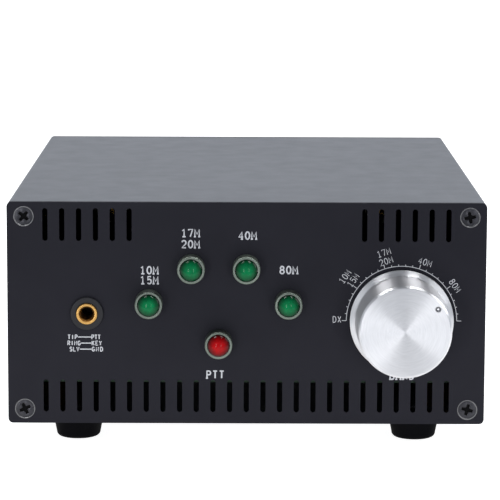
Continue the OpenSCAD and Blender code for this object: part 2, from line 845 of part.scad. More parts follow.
module knob_grub_screw() {
    start = shaft_d / 2 + seat_fit;
    color("#6b6d71") at_switch(knob_gap) rotate(pointer_angle) translate([0, 0, grub_z])
        rotate([0, -90, 0]) translate([0, 0, start]) difference() {
            cylinder(d = grub_d, h = body_d / 2 - start - grub_sink);
            translate([0, 0, body_d / 2 - start - grub_sink - grub_socket])
                cylinder(d = grub_d / 2, h = 2 * grub_socket, $fn = 6);
        }
}

module switch_shaft() {
    color("#c4c5c8") at_switch(0) translate([0, 0, -shaft_back])
        cylinder(d = shaft_d, h = shaft_back + shaft_front);
}

module switch_rotors() {
    color("#d9c27a") at_switch(0) for (back = wafer_backs)
        translate([0, 0, -back + (wafer_t - rotor_t) / 2])
            tube(rotor_d, shaft_d + 2 * seat_fit, rotor_t);
}

module switch_bushing() {
    hole = shaft_d + 2 * running_fit;
    color("#b9babd") at_switch(0) difference() {
        union() {
            translate([0, 0, -plate_back]) cylinder(d = plate_d, h = plate_t);
            translate([0, 0, -panel_t - eps])
                cylinder(d = bushing_d, h = panel_t + bushing_front + eps);
        }
        translate([0, 0, -plate_back - eps])
            cylinder(d = hole, h = plate_back + bushing_front + 2 * eps);
        for (s = [-1, 1]) translate([s * tie_x, 0, -plate_back - eps])
            cylinder(d = tie_d + 2 * screw_fit, h = plate_t - rim_chamfer);
    }
}

module switch_washer() {
    color("#b9babd") at_switch(0) tube(washer_d, bushing_d + 2 * screw_fit, washer_t);
}

module switch_nut() {
    color("#b9babd") at_switch(washer_t)
        hex_nut(switch_nut_d, bushing_d + 2 * screw_fit, switch_nut_t);
}

module switch_tie_rods() {
    color("#b9babd") at_switch(0) for (s = [-1, 1]) translate([s * tie_x, 0, 0]) {
        translate([0, 0, -switch_end])
            cylinder(d = tie_d, h = switch_end - plate_back + plate_t / 2);
        for (back = wafer_backs) translate([0, 0, -back + wafer_t])
            cylinder(d = spacer_d, h = wafer_step);
    }
}

module switch_wafers() {
    color("#c9a66b") at_switch(0) for (back = wafer_backs) translate([0, 0, -back])
        linear_extrude(wafer_t) difference() {
            circle(d = wafer_d);
            circle(d = rotor_d + 4 * panel_fit);
            for (s = [-1, 1]) translate([s * tie_x, 0]) circle(d = tie_d + 2 * screw_fit);
        }
}

// ---------------------------------------------------------------- keying jack

module at_jack(out) {
    facing_front(jack_x, front_y - out, mid_z + jack_z) children();
}

module jack_collar() {
    color("#1e1f23") at_jack(0) rotate_extrude() polygon([
        [jack_d / 2 + seat_fit, 0], [collar_d / 2, 0],
        [collar_d / 2, collar_t - rim_chamfer], [collar_d / 2 - rim_chamfer, collar_t],
        [jack_d / 2 + seat_fit, collar_t]
    ]);
}

module jack_bushing() {
    color("#d3a252") at_jack(0) translate([0, 0, jack_proud - jack_len]) rotate_extrude()
        polygon([
            [jack_bore_d / 2, 0], [jack_d / 2, 0],
            [jack_d / 2, jack_len - rim_chamfer / 2],
            [jack_d / 2 - rim_chamfer / 2, jack_len], [jack_bore_d / 2, jack_len]
        ]);
}

module jack_body() {
    reach = jack_len - jack_proud;
    color("#1e1f23") at_jack(0) translate([0, 0, -panel_t - jack_body_len]) difference() {
        cylinder(d = jack_body_d, h = jack_body_len);
        translate([0, 0, jack_body_len + panel_t - reach])
            cylinder(d = jack_d + 2 * seat_fit, h = reach);
        translate([0, 0, jack_back_t]) cylinder(d = jack_chamber_d, h = jack_body_len);
    }
}

// ---------------------------------------------------------------- coaxial sockets

module at_coax(s) {
    facing_rear(s * coax_x, rear_y, mid_z + coax_z) children();
}

module coax_shell(s) {
    color("#c9cacd") at_coax(s) difference() {
        union() {
            linear_extrude(coax_flange_t) round_rect(coax_flange, coax_flange, corner_r);
            translate([0, 0, coax_flange_t - eps]) rotate_extrude() polygon([
                [0, 0], [coax_d / 2, 0], [coax_d / 2, coax_len + eps - rim_chamfer],
                [coax_d / 2 - rim_chamfer, coax_len + eps], [0, coax_len + eps]
            ]);
        }
        translate([0, 0, -eps]) cylinder(d = coax_bore_d, h = 2 * coax_len);
        translate([0, 0, -eps]) linear_extrude(coax_flange_t + 2 * eps)
            corners(coax_hole_pitch / 2, coax_hole_pitch / 2) circle(d = screw_hole_d);
    }
}

module coax_insulators() {
    color("#e9e7df") for (s = [-1, 1]) at_coax(s)
        translate([0, 0, -panel_t - coax_tail + coax_step])
            tube(
                coax_bore_d - 2 * seat_fit, coax_pin_d + 2 * seat_fit,
                panel_t + coax_tail - coax_step + coax_flange_t + coax_len - coax_mouth
            );
}

module coax_contacts() {
    tip = coax_flange_t + coax_len - coax_tip;
    color("#d3a252") for (s = [-1, 1]) at_coax(s) difference() {
        translate([0, 0, -panel_t - coax_tail])
            cylinder(d = coax_pin_d, h = panel_t + coax_tail + tip);
        translate([0, 0, tip - coax_pin_deep])
            cylinder(d = coax_pin_bore, h = coax_pin_deep + eps);
    }
}

module coax_screws() {
    color("#b9babd") for (s = [-1, 1]) at_coax(s) translate([0, 0, coax_flange_t])
        corners(coax_hole_pitch / 2, coax_hole_pitch / 2) pan_screw(pan_len);
}

// ---------------------------------------------------------------- power inlet

module at_inlet() {
    facing_rear(inlet_x, rear_y, mid_z + inlet_z) children();
}

module power_inlet() {
    color("#1e1f23") at_inlet() difference() {
        union() {
            linear_extrude(inlet_flange_t) round_rect(inlet_flange_w, inlet_flange_h, corner_r);
            translate([0, 0, -panel_t - inlet_tail]) linear_extrude(panel_t + inlet_tail + eps)
                square([inlet_w, inlet_h], center = true);
            linear_extrude(inlet_proud) polygon([
                [-inlet_w / 2, -inlet_h / 2], [inlet_w / 2 - inlet_key, -inlet_h / 2],
                [inlet_w / 2, inlet_key - inlet_h / 2], [inlet_w / 2, inlet_h / 2 - inlet_key],
                [inlet_w / 2 - inlet_key, inlet_h / 2], [-inlet_w / 2, inlet_h / 2]
            ]);
        }
        for (s = [-1, 1]) translate([s * inlet_pitch / 2, 0, -panel_t - inlet_tail - eps])
            cylinder(d = inlet_pin_d + 2 * seat_fit, h = 2 * (inlet_proud + inlet_tail));
    }
}

module inlet_contacts() {
    back = -panel_t - inlet_tail - inlet_pin_tail;
    color("#d3a252") at_inlet() for (s = [-1, 1]) translate([s * inlet_pitch / 2, 0, 0])
        difference() {
            translate([0, 0, back])
                cylinder(d = inlet_pin_d, h = inlet_proud - inlet_sink - back);
            translate([0, 0, inlet_floor]) cylinder(d = inlet_bore_d, h = inlet_proud);
        }
}

// ---------------------------------------------------------------- power rocker

module at_rocker() {
    facing_rear(rocker_x, rear_y, mid_z + rocker_z) children();
}

module rocker_frame() {
    body_w = rocker_flange_w - 2 * rocker_lip;
    body_h = rocker_flange_h - 2 * rocker_lip;
    color("#1e1f23") at_rocker() difference() {
        union() {
            linear_extrude(rocker_flange_t)
                round_rect(rocker_flange_w, rocker_flange_h, corner_r);
            translate([0, 0, -panel_t - rocker_tail])
                linear_extrude(panel_t + rocker_tail + eps) square([body_w, body_h], center = true);
        }
        translate([0, 0, rocker_flange_t - rocker_well / 2 + eps / 2]) cube([
            rocker_len + 2 * rocker_gap, rocker_w + 2 * rocker_gap, rocker_well + eps
        ], center = true);
        translate([0, 0, rocker_flange_t - rocker_depth]) rotate([90, 0, 0])
            cylinder(d = pivot_d + 2 * running_fit, h = rocker_w + 2 * pivot_len, center = true);
    }
}

module power_rocker() {
    half = rocker_len / 2;
    color("#b3211f") at_rocker() translate([0, 0, rocker_flange_t - rocker_depth])
        rotate([0, rocker_tilt, 0]) rotate([90, 0, 0]) {
            translate([0, 0, -rocker_w / 2]) linear_extrude(rocker_w) polygon([
                [-half, 0], [-half, rocker_end], [0, rocker_ridge], [half, rocker_end],
                [half, 0], [half / 2, -rocker_end], [-half / 2, -rocker_end]
            ]);
            cylinder(d = pivot_d, h = rocker_w + 2 * pivot_len - 4 * running_fit, center = true);
        }
}

// ---------------------------------------------------------------- fan

// Local +Z points from the rear panel's inner face into the case.
module at_fan() {
    facing_front(0, rear_in_y, mid_z) children();
}

module fan_frame() {
    strut_l = (duct_d - hub_d) / 2 + 2 * strut_lap;
    color("#1e1f23") at_fan() difference() {
        union() {
            linear_extrude(fan_t) difference() {
                round_rect(fan_size, fan_size, corner_r * 2);
                circle(d = duct_d);
            }
            translate([0, 0, fan_t - base_t]) cylinder(d = hub_d, h = base_t);
            translate([0, 0, bearing_front])
                cylinder(d = bearing_d, h = fan_t - base_t - bearing_front + eps);
            for (a = [45:90:315]) rotate(a)
                translate([hub_d / 2 - strut_lap, -strut_w / 2, fan_t - base_t])
                    cube([strut_l, strut_w, base_t]);
        }
        translate([0, 0, -eps]) linear_extrude(fan_t + 2 * eps)
            corners(fan_hole_pitch / 2, fan_hole_pitch / 2) circle(d = screw_hole_d);
        translate([0, 0, bearing_front - eps])
            cylinder(d = fan_shaft_d + 2 * running_fit, h = fan_t - base_t - bearing_front + eps);
    }
}

module fan_blade() {
    inner = hub_d / 2 - hub_lap;
    outer = duct_d / 2 - blade_gap;
    len = cup_back - cup_front - 2 * fan_play;
    intersection() {
        translate([0, 0, cup_front + fan_play]) linear_extrude(len) ring(2 * outer, 2 * inner);
        translate([(inner + outer) / 2, 0, (cup_front + cup_back) / 2])
            rotate([blade_angle, 0, 0]) cube([outer, blade_t, 3 * len], center = true);
    }
}

module fan_impeller() {
    color("#232428") at_fan() {
        difference() {
            translate([0, 0, cup_front]) cylinder(d = hub_d, h = cup_back - cup_front);
            translate([0, 0, cup_front + cup_wall])
                cylinder(d = hub_d - 2 * cup_wall, h = cup_back);
        }
        translate([0, 0, cup_front + cup_wall - eps])
            cylinder(d = fan_shaft_d, h = fan_t - base_t - cup_front - cup_wall - fan_play);
        for (i = [0:blade_count - 1]) rotate(i * 360 / blade_count) fan_blade();
    }
}

module fan_screws() {
    color("#1b1b1e") facing_rear(0, rear_y, mid_z)
        corners(fan_hole_pitch / 2, fan_hole_pitch / 2) pan_screw(pan_len);
}

// ---------------------------------------------------------------- ground stud

module at_stud() {
    facing_rear(stud_x, rear_y, mid_z + stud_z) children();
}

module ground_stud() {
    base_end = stud_nut_t + stud_over;
    color("#d0b468") at_stud() {
        translate([0, 0, -panel_t - base_end])
            cylinder(d = stud_base_d, h = panel_t + 2 * base_end);
        cylinder(d = stud_d, h = stud_len);
    }
}

module ground_nuts() {
    color("#c9cacd") at_stud() {
        hex_nut(stud_nut_d, stud_base_d + 2 * screw_fit, stud_nut_t);
        translate([0, 0, -panel_t - stud_nut_t])
            hex_nut(stud_nut_d, stud_base_d + 2 * screw_fit, stud_nut_t);
    }
}

// ---------------------------------------------------------------- board and its parts

// Local origin on the board's upper face, in its middle.
module on_board(x, y) {
    translate([x, board_y + y, board_top]) children();
}

module standoff_places() {
    for (
        sx = [-1, 1],
        y = [standoff_inset - board_l / 2, 0, board_l / 2 - standoff_inset]
    )
        translate([sx * (board_w / 2 - standoff_inset), board_y + y, 0]) children();
}

module spreader_screw_places() {
    for (sx = [-1, 1], sy = [-1, 1])
        translate([
            sx * (spreader_w / 2 - standoff_inset), fet_y + sy * (spreader_l / 2 - standoff_inset), 0
        ])
            children();
}

module fet_places() {
    for (s = [-1, 1]) translate([s * fet_pitch / 2, fet_y, 0]) children();
}

module fet_screw_places() {
    fet_places() for (s = [-1, 1]) translate([0, s * (fet_l / 2 - fet_hole_inset), 0])
        children();
}

module main_board() {
    access_d = pan_head_d + 4 * panel_fit;
    color("#1f5a3c") difference() {
        translate([-board_w / 2, board_y - board_l / 2, board_z])
            cube([board_w, board_l, board_t]);
        translate([0, 0, board_z - eps]) {
            standoff_places() cylinder(d = screw_hole_d, h = board_t + 2 * eps);
            spreader_screw_places() cylinder(d = access_d, h = board_t + 2 * eps);
            fet_places() translate([-window_w / 2, -window_l / 2, 0])
                cube([window_w, window_l, board_t + 2 * eps]);
        }
    }
}

module board_standoffs() {
    color("#c8b070") standoff_places() translate([0, 0, floor_z])
        hex_nut(standoff_d, screw_hole_d, standoff_h);
}

module board_screws() {
    color("#b9babd") {
        standoff_places() translate([0, 0, board_top]) pan_screw(pan_len);
        spreader_screw_places() translate([0, 0, spreader_top]) pan_screw(pan_len);
        fet_screw_places() translate([0, 0, spreader_top + fet_flange_t])
            pan_screw(spreader_t);
    }
}

module heat_spreader() {
    color("#b4b6ba") difference() {
        translate([-spreader_w / 2, fet_y - spreader_l / 2, floor_z])
            cube([spreader_w, spreader_l, spreader_t]);
        translate([0, 0, floor_z - eps]) {
            spreader_screw_places() cylinder(d = screw_hole_d, h = spreader_t + 2 * eps);
            fet_screw_places() cylinder(d = screw_hole_d, h = spreader_t + 2 * eps);
        }
    }
}

module power_transistors() {
    body_l = fet_l - 2 * fet_body_inset;
    color("#e4e2da") fet_places() translate([0, 0, spreader_top]) {
        difference() {
            translate([-fet_w / 2, -fet_l / 2, 0]) cube([fet_w, fet_l, fet_flange_t]);
            for (s = [-1, 1]) translate([0, s * (fet_l / 2 - fet_hole_inset), -eps])
                cylinder(d = screw_hole_d, h = fet_flange_t + 2 * eps);
        }
        translate([-fet_w / 2, -body_l / 2, fet_flange_t - eps])
            cube([fet_w, body_l, fet_h + eps]);
        translate([-fet_w, fet_lead_inset - body_l / 2, board_top - spreader_top])
            cube([2 * fet_w, body_l - 2 * fet_lead_inset, fet_lead_t]);
    }
}

module two_hole_core(w, l, h) {
    difference() {
        translate([-w / 2, -l / 2, 0]) cube([w, l, h]);
        for (s = [-1, 1]) translate([s * w / 4, 0, h / 2]) rotate([90, 0, 0])
            cylinder(d = core_hole_d, h = l + 2 * eps, center = true);
    }
}

module input_transformer() {
    color("#4a4b50") on_board(core_in_x, spreader_y - spreader_l / 2 - core_in[1])
        two_hole_core(core_in[0], core_in[1], core_in[2]);
}

module output_transformer() {
    color("#4a4b50") on_board(0, spreader_y + spreader_l / 2 + core_out[1] / 2 - core_out_lap)
        two_hole_core(core_out[0], core_out[1], core_out[2]);
}

module coil_places() {
    for (row = [0, 1], i = [0:coil_count - 1])
        on_board(coil_x + i * coil_pitch, coil_y - row * (coil_pitch + filter_cap_l)) children();
}

module filter_coils() {
    color("#b5482f") coil_places() tube(coil_d, coil_hole_d, coil_h);
}

module filter_capacitors() {
    color("#d08a3a") coil_places()
        translate([-coil_d / 4, coil_d / 2 + part_gap, 0]) cube([coil_d / 2, filter_cap_l, coil_h]);
}

module relays() {
    color("#2d4f8a") {
        for (i = [0:coil_count - 1])
            on_board(coil_x + i * coil_pitch - relay_w / 2, coil_y + coil_pitch + part_gap)
                cube([relay_w, relay_l, relay_h]);
        on_board(bypass_inset - board_w / 2, board_l / 2 - bypass_edge_y)
            cube([relay_w, bypass_l, relay_h]);
    }
}

module bulk_capacitors() {
    color("#22252c") for (i = [0:2])
        on_board(board_w / 2 - cap_edge_x, board_l / 2 - cap_edge_y - i * cap_pitch)
            cylinder(d = cap_d, h = cap_h);
}

// A lead that leaves a piece level at height z and depth y, and turns down to the board.
module dropping_lead(x, z, y, dir, straight, d) {
    drop = z - board_top - lead_bend;
    facing = dir > 0 ? 0 : 180;
    translate([x, y, z]) rotate(facing) {
        rotate([-90, 0, 0]) cylinder(d = d, h = straight);
        translate([0, straight, -lead_bend]) rotate([90, 0, 90])
            rotate_extrude(angle = 90) translate([lead_bend, 0]) circle(d = d);
        translate([0, straight + lead_bend, -lead_bend - drop]) cylinder(d = d, h = drop);
    }
}

module leads() {
    color("#b3211f") {
        for (p = lamp_places)
            dropping_lead(p[0], mid_z + p[1], front_y + lamp_len - lead_d, 1, lead_run, lead_d);
        dropping_lead(
            jack_x, mid_z + jack_z, shell_y + jack_body_len, 1, lead_run, lead_d
        );
        for (s = [-1, 1]) dropping_lead(
            inlet_x + s * inlet_pitch / 2, mid_z + inlet_z,
            inlet_end, -1, inlet_end - lead_bend - board_y - board_l / 2 + lead_land, power_lead_d
        );
    }
}

case_lower();
case_upper();
front_panel();
rear_panel();
front_panel_screws();
rear_panel_screws();
foot_at(-1, front_y + foot_inset_y);  // foot_front_left
foot_at(1, front_y + foot_inset_y);  // foot_front_right
foot_at(-1, rear_y - foot_inset_y);  // foot_rear_left
foot_at(1, rear_y - foot_inset_y);  // foot_rear_right
foot_screws();
lamp_bezel(0);  // lamp_bezel_1
lamp_bezel(1);  // lamp_bezel_2
lamp_bezel(2);  // lamp_bezel_3
lamp_bezel(3);  // lamp_bezel_4
lamp_bezel(4);  // lamp_bezel_red
lamp_lens(0, "#1c8a4c");  // lamp_lens_1
lamp_lens(1, "#1c8a4c");  // lamp_lens_2
lamp_lens(2, "#1c8a4c");  // lamp_lens_3
lamp_lens(3, "#1c8a4c");  // lamp_lens_4
lamp_lens(4, "#b0141c");  // lamp_lens_red
lamp_nuts();
band_knob();
knob_grub_screw();
switch_shaft();
switch_rotors();
switch_bushing();
switch_nut();
switch_washer();
switch_tie_rods();
switch_wafers();
jack_collar();
jack_bushing();
jack_body();
coax_shell(1);  // coax_input_shell
coax_shell(-1);  // coax_output_shell
coax_insulators();
coax_contacts();
coax_screws();
power_inlet();
inlet_contacts();
rocker_frame();
power_rocker();
fan_frame();
fan_impeller();
fan_screws();
ground_stud();
ground_nuts();
main_board();
board_standoffs();
board_screws();
heat_spreader();
power_transistors();
input_transformer();
output_transformer();
filter_coils();
filter_capacitors();
relays();
bulk_capacitors();
leads();
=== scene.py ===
import math

import bmesh
import bpy
from bpy.props import FloatProperty, FloatVectorProperty, IntProperty, PointerProperty
from bpy.types import Operator, Panel, PropertyGroup
from mathutils import Matrix, Vector


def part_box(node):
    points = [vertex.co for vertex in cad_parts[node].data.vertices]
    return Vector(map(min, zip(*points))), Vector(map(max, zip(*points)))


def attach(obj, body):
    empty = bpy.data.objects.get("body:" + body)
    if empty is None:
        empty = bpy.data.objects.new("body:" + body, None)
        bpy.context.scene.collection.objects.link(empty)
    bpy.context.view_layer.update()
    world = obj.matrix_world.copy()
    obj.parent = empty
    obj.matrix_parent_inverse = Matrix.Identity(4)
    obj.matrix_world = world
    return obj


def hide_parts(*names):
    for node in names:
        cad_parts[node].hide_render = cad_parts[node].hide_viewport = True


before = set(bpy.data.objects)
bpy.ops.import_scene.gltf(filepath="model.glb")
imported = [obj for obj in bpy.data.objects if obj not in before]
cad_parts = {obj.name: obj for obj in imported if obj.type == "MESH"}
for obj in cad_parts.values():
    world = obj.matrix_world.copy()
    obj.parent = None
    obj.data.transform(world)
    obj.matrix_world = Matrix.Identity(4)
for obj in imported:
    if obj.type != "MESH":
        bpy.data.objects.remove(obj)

bl_info = {
    "name": "Shortwave Linear Amplifier",
    "version": (1, 0, 0),
    "blender": (4, 5, 0),
    "location": "View3D > Sidebar > Amplifier",
    "description": "Dresses the packed model of a small radio amplifier",
    "category": "Object",
}

MM = 0.001
MICRON = 0.000001
FRONT_TURN = Matrix.Rotation(math.radians(90), 4, "X")
REAR_TURN = Matrix.Rotation(math.radians(-90), 4, "X")


def centre(node):
    """The middle of a CAD node's box, in metres."""
    low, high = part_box(node)
    return (Vector(low) + Vector(high)) / 2


PANEL_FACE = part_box("front_panel")[0][1]
REAR_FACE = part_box("rear_panel")[1][1]
PANEL_MID = centre("front_panel")
KNOB_AXIS = centre("band_knob")


def tone(red, green, blue):
    """A screen colour from 0 to 255 as the linear colour a shader works with."""
    return tuple(
        level / 12.92 if level <= 0.04045 else ((level + 0.055) / 1.055) ** 2.4
        for level in (red / 255, green / 255, blue / 255))


# Screen colour, roughness, metallic, grains per metre and their depth in microns
FINISHES = {
    # Painted shade: flat black for the plates that darken the panel screws' cross recesses
    "recess_painted_shade": ((6, 6, 7), 0.8, 0, 3000, 10),
    "screw_steel": ((170, 170, 172), 0.3, 1, 3000, 6),
    # Painted shade: grey for the ring on the walls of the knob's pointer dimple
    "pointer_painted_shade": ((108, 108, 112), 0.5, 0, 1500, 10),
    "jack_gold": ((182, 142, 82), 0.34, 1, 2200, 4),
    "jack_plastic": ((22, 22, 26), 0.5, 0, 1500, 10),
    "socket_insulator": ((222, 216, 200), 0.35, 0, 900, 10),
    "contact_gold": ((228, 180, 96), 0.25, 1, 2000, 4),
    "moulded_black": ((30, 30, 32), 0.45, 0, 1300, 15),
    "terminal_brass": ((206, 168, 96), 0.28, 1, 1800, 6),
    "fan_plastic": ((34, 34, 36), 0.45, 0, 1200, 15),
    "switch_nickel": ((186, 184, 178), 0.32, 1, 1500, 6),
    "switch_brass": ((200, 164, 92), 0.3, 1, 1500, 6),
    "phenolic": ((150, 96, 48), 0.5, 0, 900, 10),
    "board_lacquer": ((14, 70, 38), 0.35, 0, 700, 10),
    "milled_aluminium": ((196, 198, 200), 0.38, 1, 1200, 8),
    "ceramic": ((226, 222, 210), 0.5, 0, 900, 10),
    "ferrite": ((58, 58, 60), 0.6, 0, 1400, 30),
    "ferrite_large": ((54, 54, 56), 0.6, 0, 1400, 30),
    "capacitor_orange": ((206, 110, 34), 0.35, 0, 600, 20),
    "relay_blue": ((40, 84, 158), 0.35, 0, 800, 10),
    "capacitor_sleeve": ((28, 28, 34), 0.35, 0, 800, 10),
    "lead_insulation": ((168, 26, 24), 0.4, 0, 900, 10),
    "coil_core": ((158, 40, 30), 0.5, 0, 900, 20),
    "enamelled_copper": ((196, 110, 62), 0.3, 1, 2000, 4),
}

# Node, ending of its piece's name, finish, slot and softened edge in mm
INNER_PARTS = (
    ("lamp_nuts", "_turned", "switch_nickel", "switch_nickel", 0.1),
    ("switch_bushing", "_turned", "switch_nickel", "switch_nickel", 0.15),
    ("switch_nut", "_turned", "switch_nickel", "switch_nickel", 0.15),
    ("switch_washer", "_cut", "switch_nickel", "switch_nickel", 0.06),
    ("switch_tie_rods", "_turned", "switch_nickel", "switch_nickel", 0.1),
    ("switch_shaft", "_turned", "switch_nickel", "switch_nickel", 0.2),
    ("switch_rotors", "_cut", "switch_brass", "contact_brass", 0.08),
    ("board_standoffs", "_turned", "switch_brass", "contact_brass", 0.12),
    ("switch_wafers", "_cut", "phenolic", "phenolic", 0.08),
    ("main_board", "_cut", "board_lacquer", "board_green", 0.08),
    ("heat_spreader", "_milled", "milled_aluminium", "spreader_aluminium", 0.2),
    ("power_transistors", "_cased", "ceramic", "ceramic_white", 0.12),
    ("input_transformer", "_core", "ferrite", "ferrite", 0.3),
    ("output_transformer", "_core", "ferrite_large", "ferrite", 0.4),
    ("filter_capacitors", "_dipped", "capacitor_orange", "capacitor_orange", 0.5),
    ("relays", "_cased", "relay_blue", "relay_blue", 0.4),
    ("bulk_capacitors", "_sleeved", "capacitor_sleeve", "capacitor_black", 0.4),
    ("leads", "_insulated", "lead_insulation", "lead_red", 0.0),
)

# Text, x and z in mm from the panel's centre
LAMP_LABELS = (
    ("10M", -29.5, 13.25), ("15M", -29.5, 10.2), ("17M", -17.0, 24.65), ("20M", -17.0, 21.25),
    ("40M", 0.2, 23.95), ("80M", 12.7, 13.45), ("PTT", -9.5, -18.85), ("BAND", 47.3, -19.0),
)
# First word, last word, x of the dash's start, x and letter pitch of the last word
JACK_NOTES = (
    ("TIP", "PTT", -51.15, -45.7, 0.98), ("RING", "KEY", -50.2, -45.48, 1.1),
    ("SLV", "GND", -50.6, -45.3, 1.25),
)
# Text, angle and distance from the knob's axis, turn
DIAL_LABELS = (
    ("DX", 179, 19.6, 0), ("10M", 142, 21.9, 54), ("15M", 140, 19.3, 54),
    ("17M", 105, 21.6, 18), ("20M", 105, 18.9, 18), ("40M", 69, 19.3, -18),
    ("80M", 34, 19.4, -54),
)


# ---------------- settings

class CaseSettings(PropertyGroup):
    edge: FloatProperty(
        name="Edge", description="Width of the softened edges of the sheet metal",
        default=0.00025, unit="LENGTH")
    case_colour: FloatVectorProperty(
        name="Case", description="Paint of the two case halves",
        default=tone(50, 52, 60), subtype="COLOR")
    panel_colour: FloatVectorProperty(
        name="Panels", description="Black anodising of the front and rear panels",
        default=tone(25, 24, 30), subtype="COLOR")
    rubber_colour: FloatVectorProperty(
        name="Rubber", description="Rubber of the feet", default=tone(10, 10, 13), subtype="COLOR")
    screw_colour: FloatVectorProperty(
        name="Screws", description="Blackened steel of the panel screws",
        default=tone(60, 60, 64), subtype="COLOR")
    sink_colour: FloatVectorProperty(
        name="Countersinks", description="Bare metal of the screw seats",
        default=tone(122, 122, 124), subtype="COLOR")
    foot_spread: FloatProperty(
        name="Foot spread", description="How far the soft feet bulge past their nominal size",
        default=1.13)
    screw_turn: FloatProperty(
        name="Screw turn", description="How far each panel screw is turned past the last",
        default=math.radians(25), subtype="ANGLE")


class LampSettings(PropertyGroup):
    green: FloatVectorProperty(
        name="Green", description="Band lamp lenses", default=tone(0, 112, 64), subtype="COLOR")
    red: FloatVectorProperty(
        name="Red", description="Transmit lamp lens", default=tone(166, 0, 6), subtype="COLOR")
    bezel: FloatVectorProperty(
        name="Bezels", description="Plating of the lamp bezels",
        default=tone(114, 122, 114), subtype="COLOR")


class KnobSettings(PropertyGroup):
    metal: FloatVectorProperty(
        name="Metal", description="Turned aluminium of the knob",
        default=tone(209, 209, 212), subtype="COLOR")
    mark: FloatProperty(
        name="Turning marks", description="Depth of the marks of the lathe tool",
        default=0.0000011, unit="LENGTH", precision=6)


class LegendSettings(PropertyGroup):
    ink: FloatVectorProperty(
        name="Ink", description="Print on the front panel",
        default=tone(190, 191, 196), subtype="COLOR")
    proud: FloatProperty(
        name="Thickness", description="How far the print stands off the panel",
        default=0.00002, unit="LENGTH", precision=5)
    stroke: FloatProperty(
        name="Stroke", description="Stroke width of the lamp labels",
        default=0.00044, unit="LENGTH", precision=5)


class RearSettings(PropertyGroup):
    nickel: FloatVectorProperty(
        name="Nickel", description="Plating of sockets and nuts",
        default=tone(190, 188, 182), subtype="COLOR")
    thread_pitch: FloatProperty(
        name="Thread", description="Pitch of the socket thread", default=0.00106, unit="LENGTH",
        precision=5)
    thread_turns: IntProperty(
        name="Turns", description="Turns of thread on each socket", default=9, min=2)
    red: FloatVectorProperty(
        name="Rocker", description="Power rocker", default=tone(170, 18, 16), subtype="COLOR")


class InsideSettings(PropertyGroup):
    coil: FloatProperty(
        name="Coil", description="Diameter of a wound filter coil", default=0.013, unit="LENGTH")
    coil_hole: FloatProperty(
        name="Coil hole", description="Hole left in a wound filter coil", default=0.006,
        unit="LENGTH")
    coil_turns: IntProperty(
        name="Turns", description="Turns of wire on a filter coil", default=16)


class StageSettings(PropertyGroup):
    floor: FloatVectorProperty(
        name="Floor", description="Plain floor", default=(0.5, 0.5, 0.5), subtype="COLOR")
    glow: FloatProperty(
        name="Glow", description="Light that the lit floor gives by itself", default=0.95)
    sky: FloatProperty(
        name="Surroundings", description="Light from behind and above", default=1.16)
    dusk: FloatProperty(
        name="Front", description="Light from the room in front", default=0.75)
    zenith: FloatProperty(
        name="Zenith", description="Share of the room's light left overhead", default=0.3)


# ---------------- shaping

def turned(profile, steps=64, ring=False, turns=1, pitch=0.0):
    """A shape turned about Z from (radius, height) pairs in mm.

    A ring's profile is closed, and a thread climbs by its pitch in each of its turns.
    """
    shape = bmesh.new()
    points = [shape.verts.new((radius * MM, 0, height * MM)) for radius, height in profile]
    pairs = list(zip(points, points[1:])) + ([(points[-1], points[0])] if ring else [])
    edges = [shape.edges.new(pair) for pair in pairs]
    bmesh.ops.spin(shape, geom=points + edges, axis=(0, 0, 1), cent=(0, 0, 0),
                   angle=math.tau * turns, steps=steps * turns,
                   dvec=(0, 0, pitch * MM / steps), use_merge=not pitch)
    bmesh.ops.remove_doubles(shape, verts=shape.verts, dist=1e-6)
    bmesh.ops.recalc_face_normals(shape, faces=shape.faces)
    return shape


def soften(shape, width, segments=2, angle=30):
    """Round every edge that is sharper than the angle; the width is in metres."""
    sharp = [edge for edge in shape.edges
             if edge.is_manifold and edge.calc_face_angle(0) > math.radians(angle)]
    bmesh.ops.bevel(shape, geom=sharp, offset=width, offset_type="OFFSET", affect="EDGES",
                    segments=segments, profile=0.5, material=-1, clamp_overlap=True)
    return shape


def node_copy(node, edge, segments=2):
    """A CAD node's mesh, merged, its flat faces joined and its edges softened."""
    shape = bmesh.new()
    shape.from_mesh(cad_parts[node].data)
    bmesh.ops.remove_doubles(shape, verts=shape.verts, dist=2e-6)
    bmesh.ops.dissolve_limit(shape, angle_limit=math.radians(0.5), verts=shape.verts,
                             edges=shape.edges)
    return soften(shape, edge, segments) if edge else shape


def placed(name, data):
    """A new object in the scene."""
    item = bpy.data.objects.new(name, data)
    bpy.context.scene.collection.objects.link(item)
    return item


def as_mesh(shape, name):
    """The shape as a mesh; the shape is used up."""
    mesh = bpy.data.meshes.new(name)
    shape.to_mesh(mesh)
    shape.free()
    return mesh


def read_back(item):
    """The merged shape of an object with its modifiers."""
    bpy.context.view_layer.update()
    mesh = bpy.data.meshes.new_from_object(
        item.evaluated_get(bpy.context.evaluated_depsgraph_get()))
    shape = bmesh.new()
    shape.from_mesh(mesh)
    bpy.data.meshes.remove(mesh)
    bmesh.ops.remove_doubles(shape, verts=shape.verts, dist=1e-6)
    return shape


def from_curve(curve):
    """A curve turned into a shape; the curve is used up."""
    sketch = placed("sketch", curve)
    shape = read_back(sketch)
    bpy.data.objects.remove(sketch)
    bpy.data.curves.remove(curve)
    bmesh.ops.recalc_face_normals(shape, faces=shape.faces)
    return shape


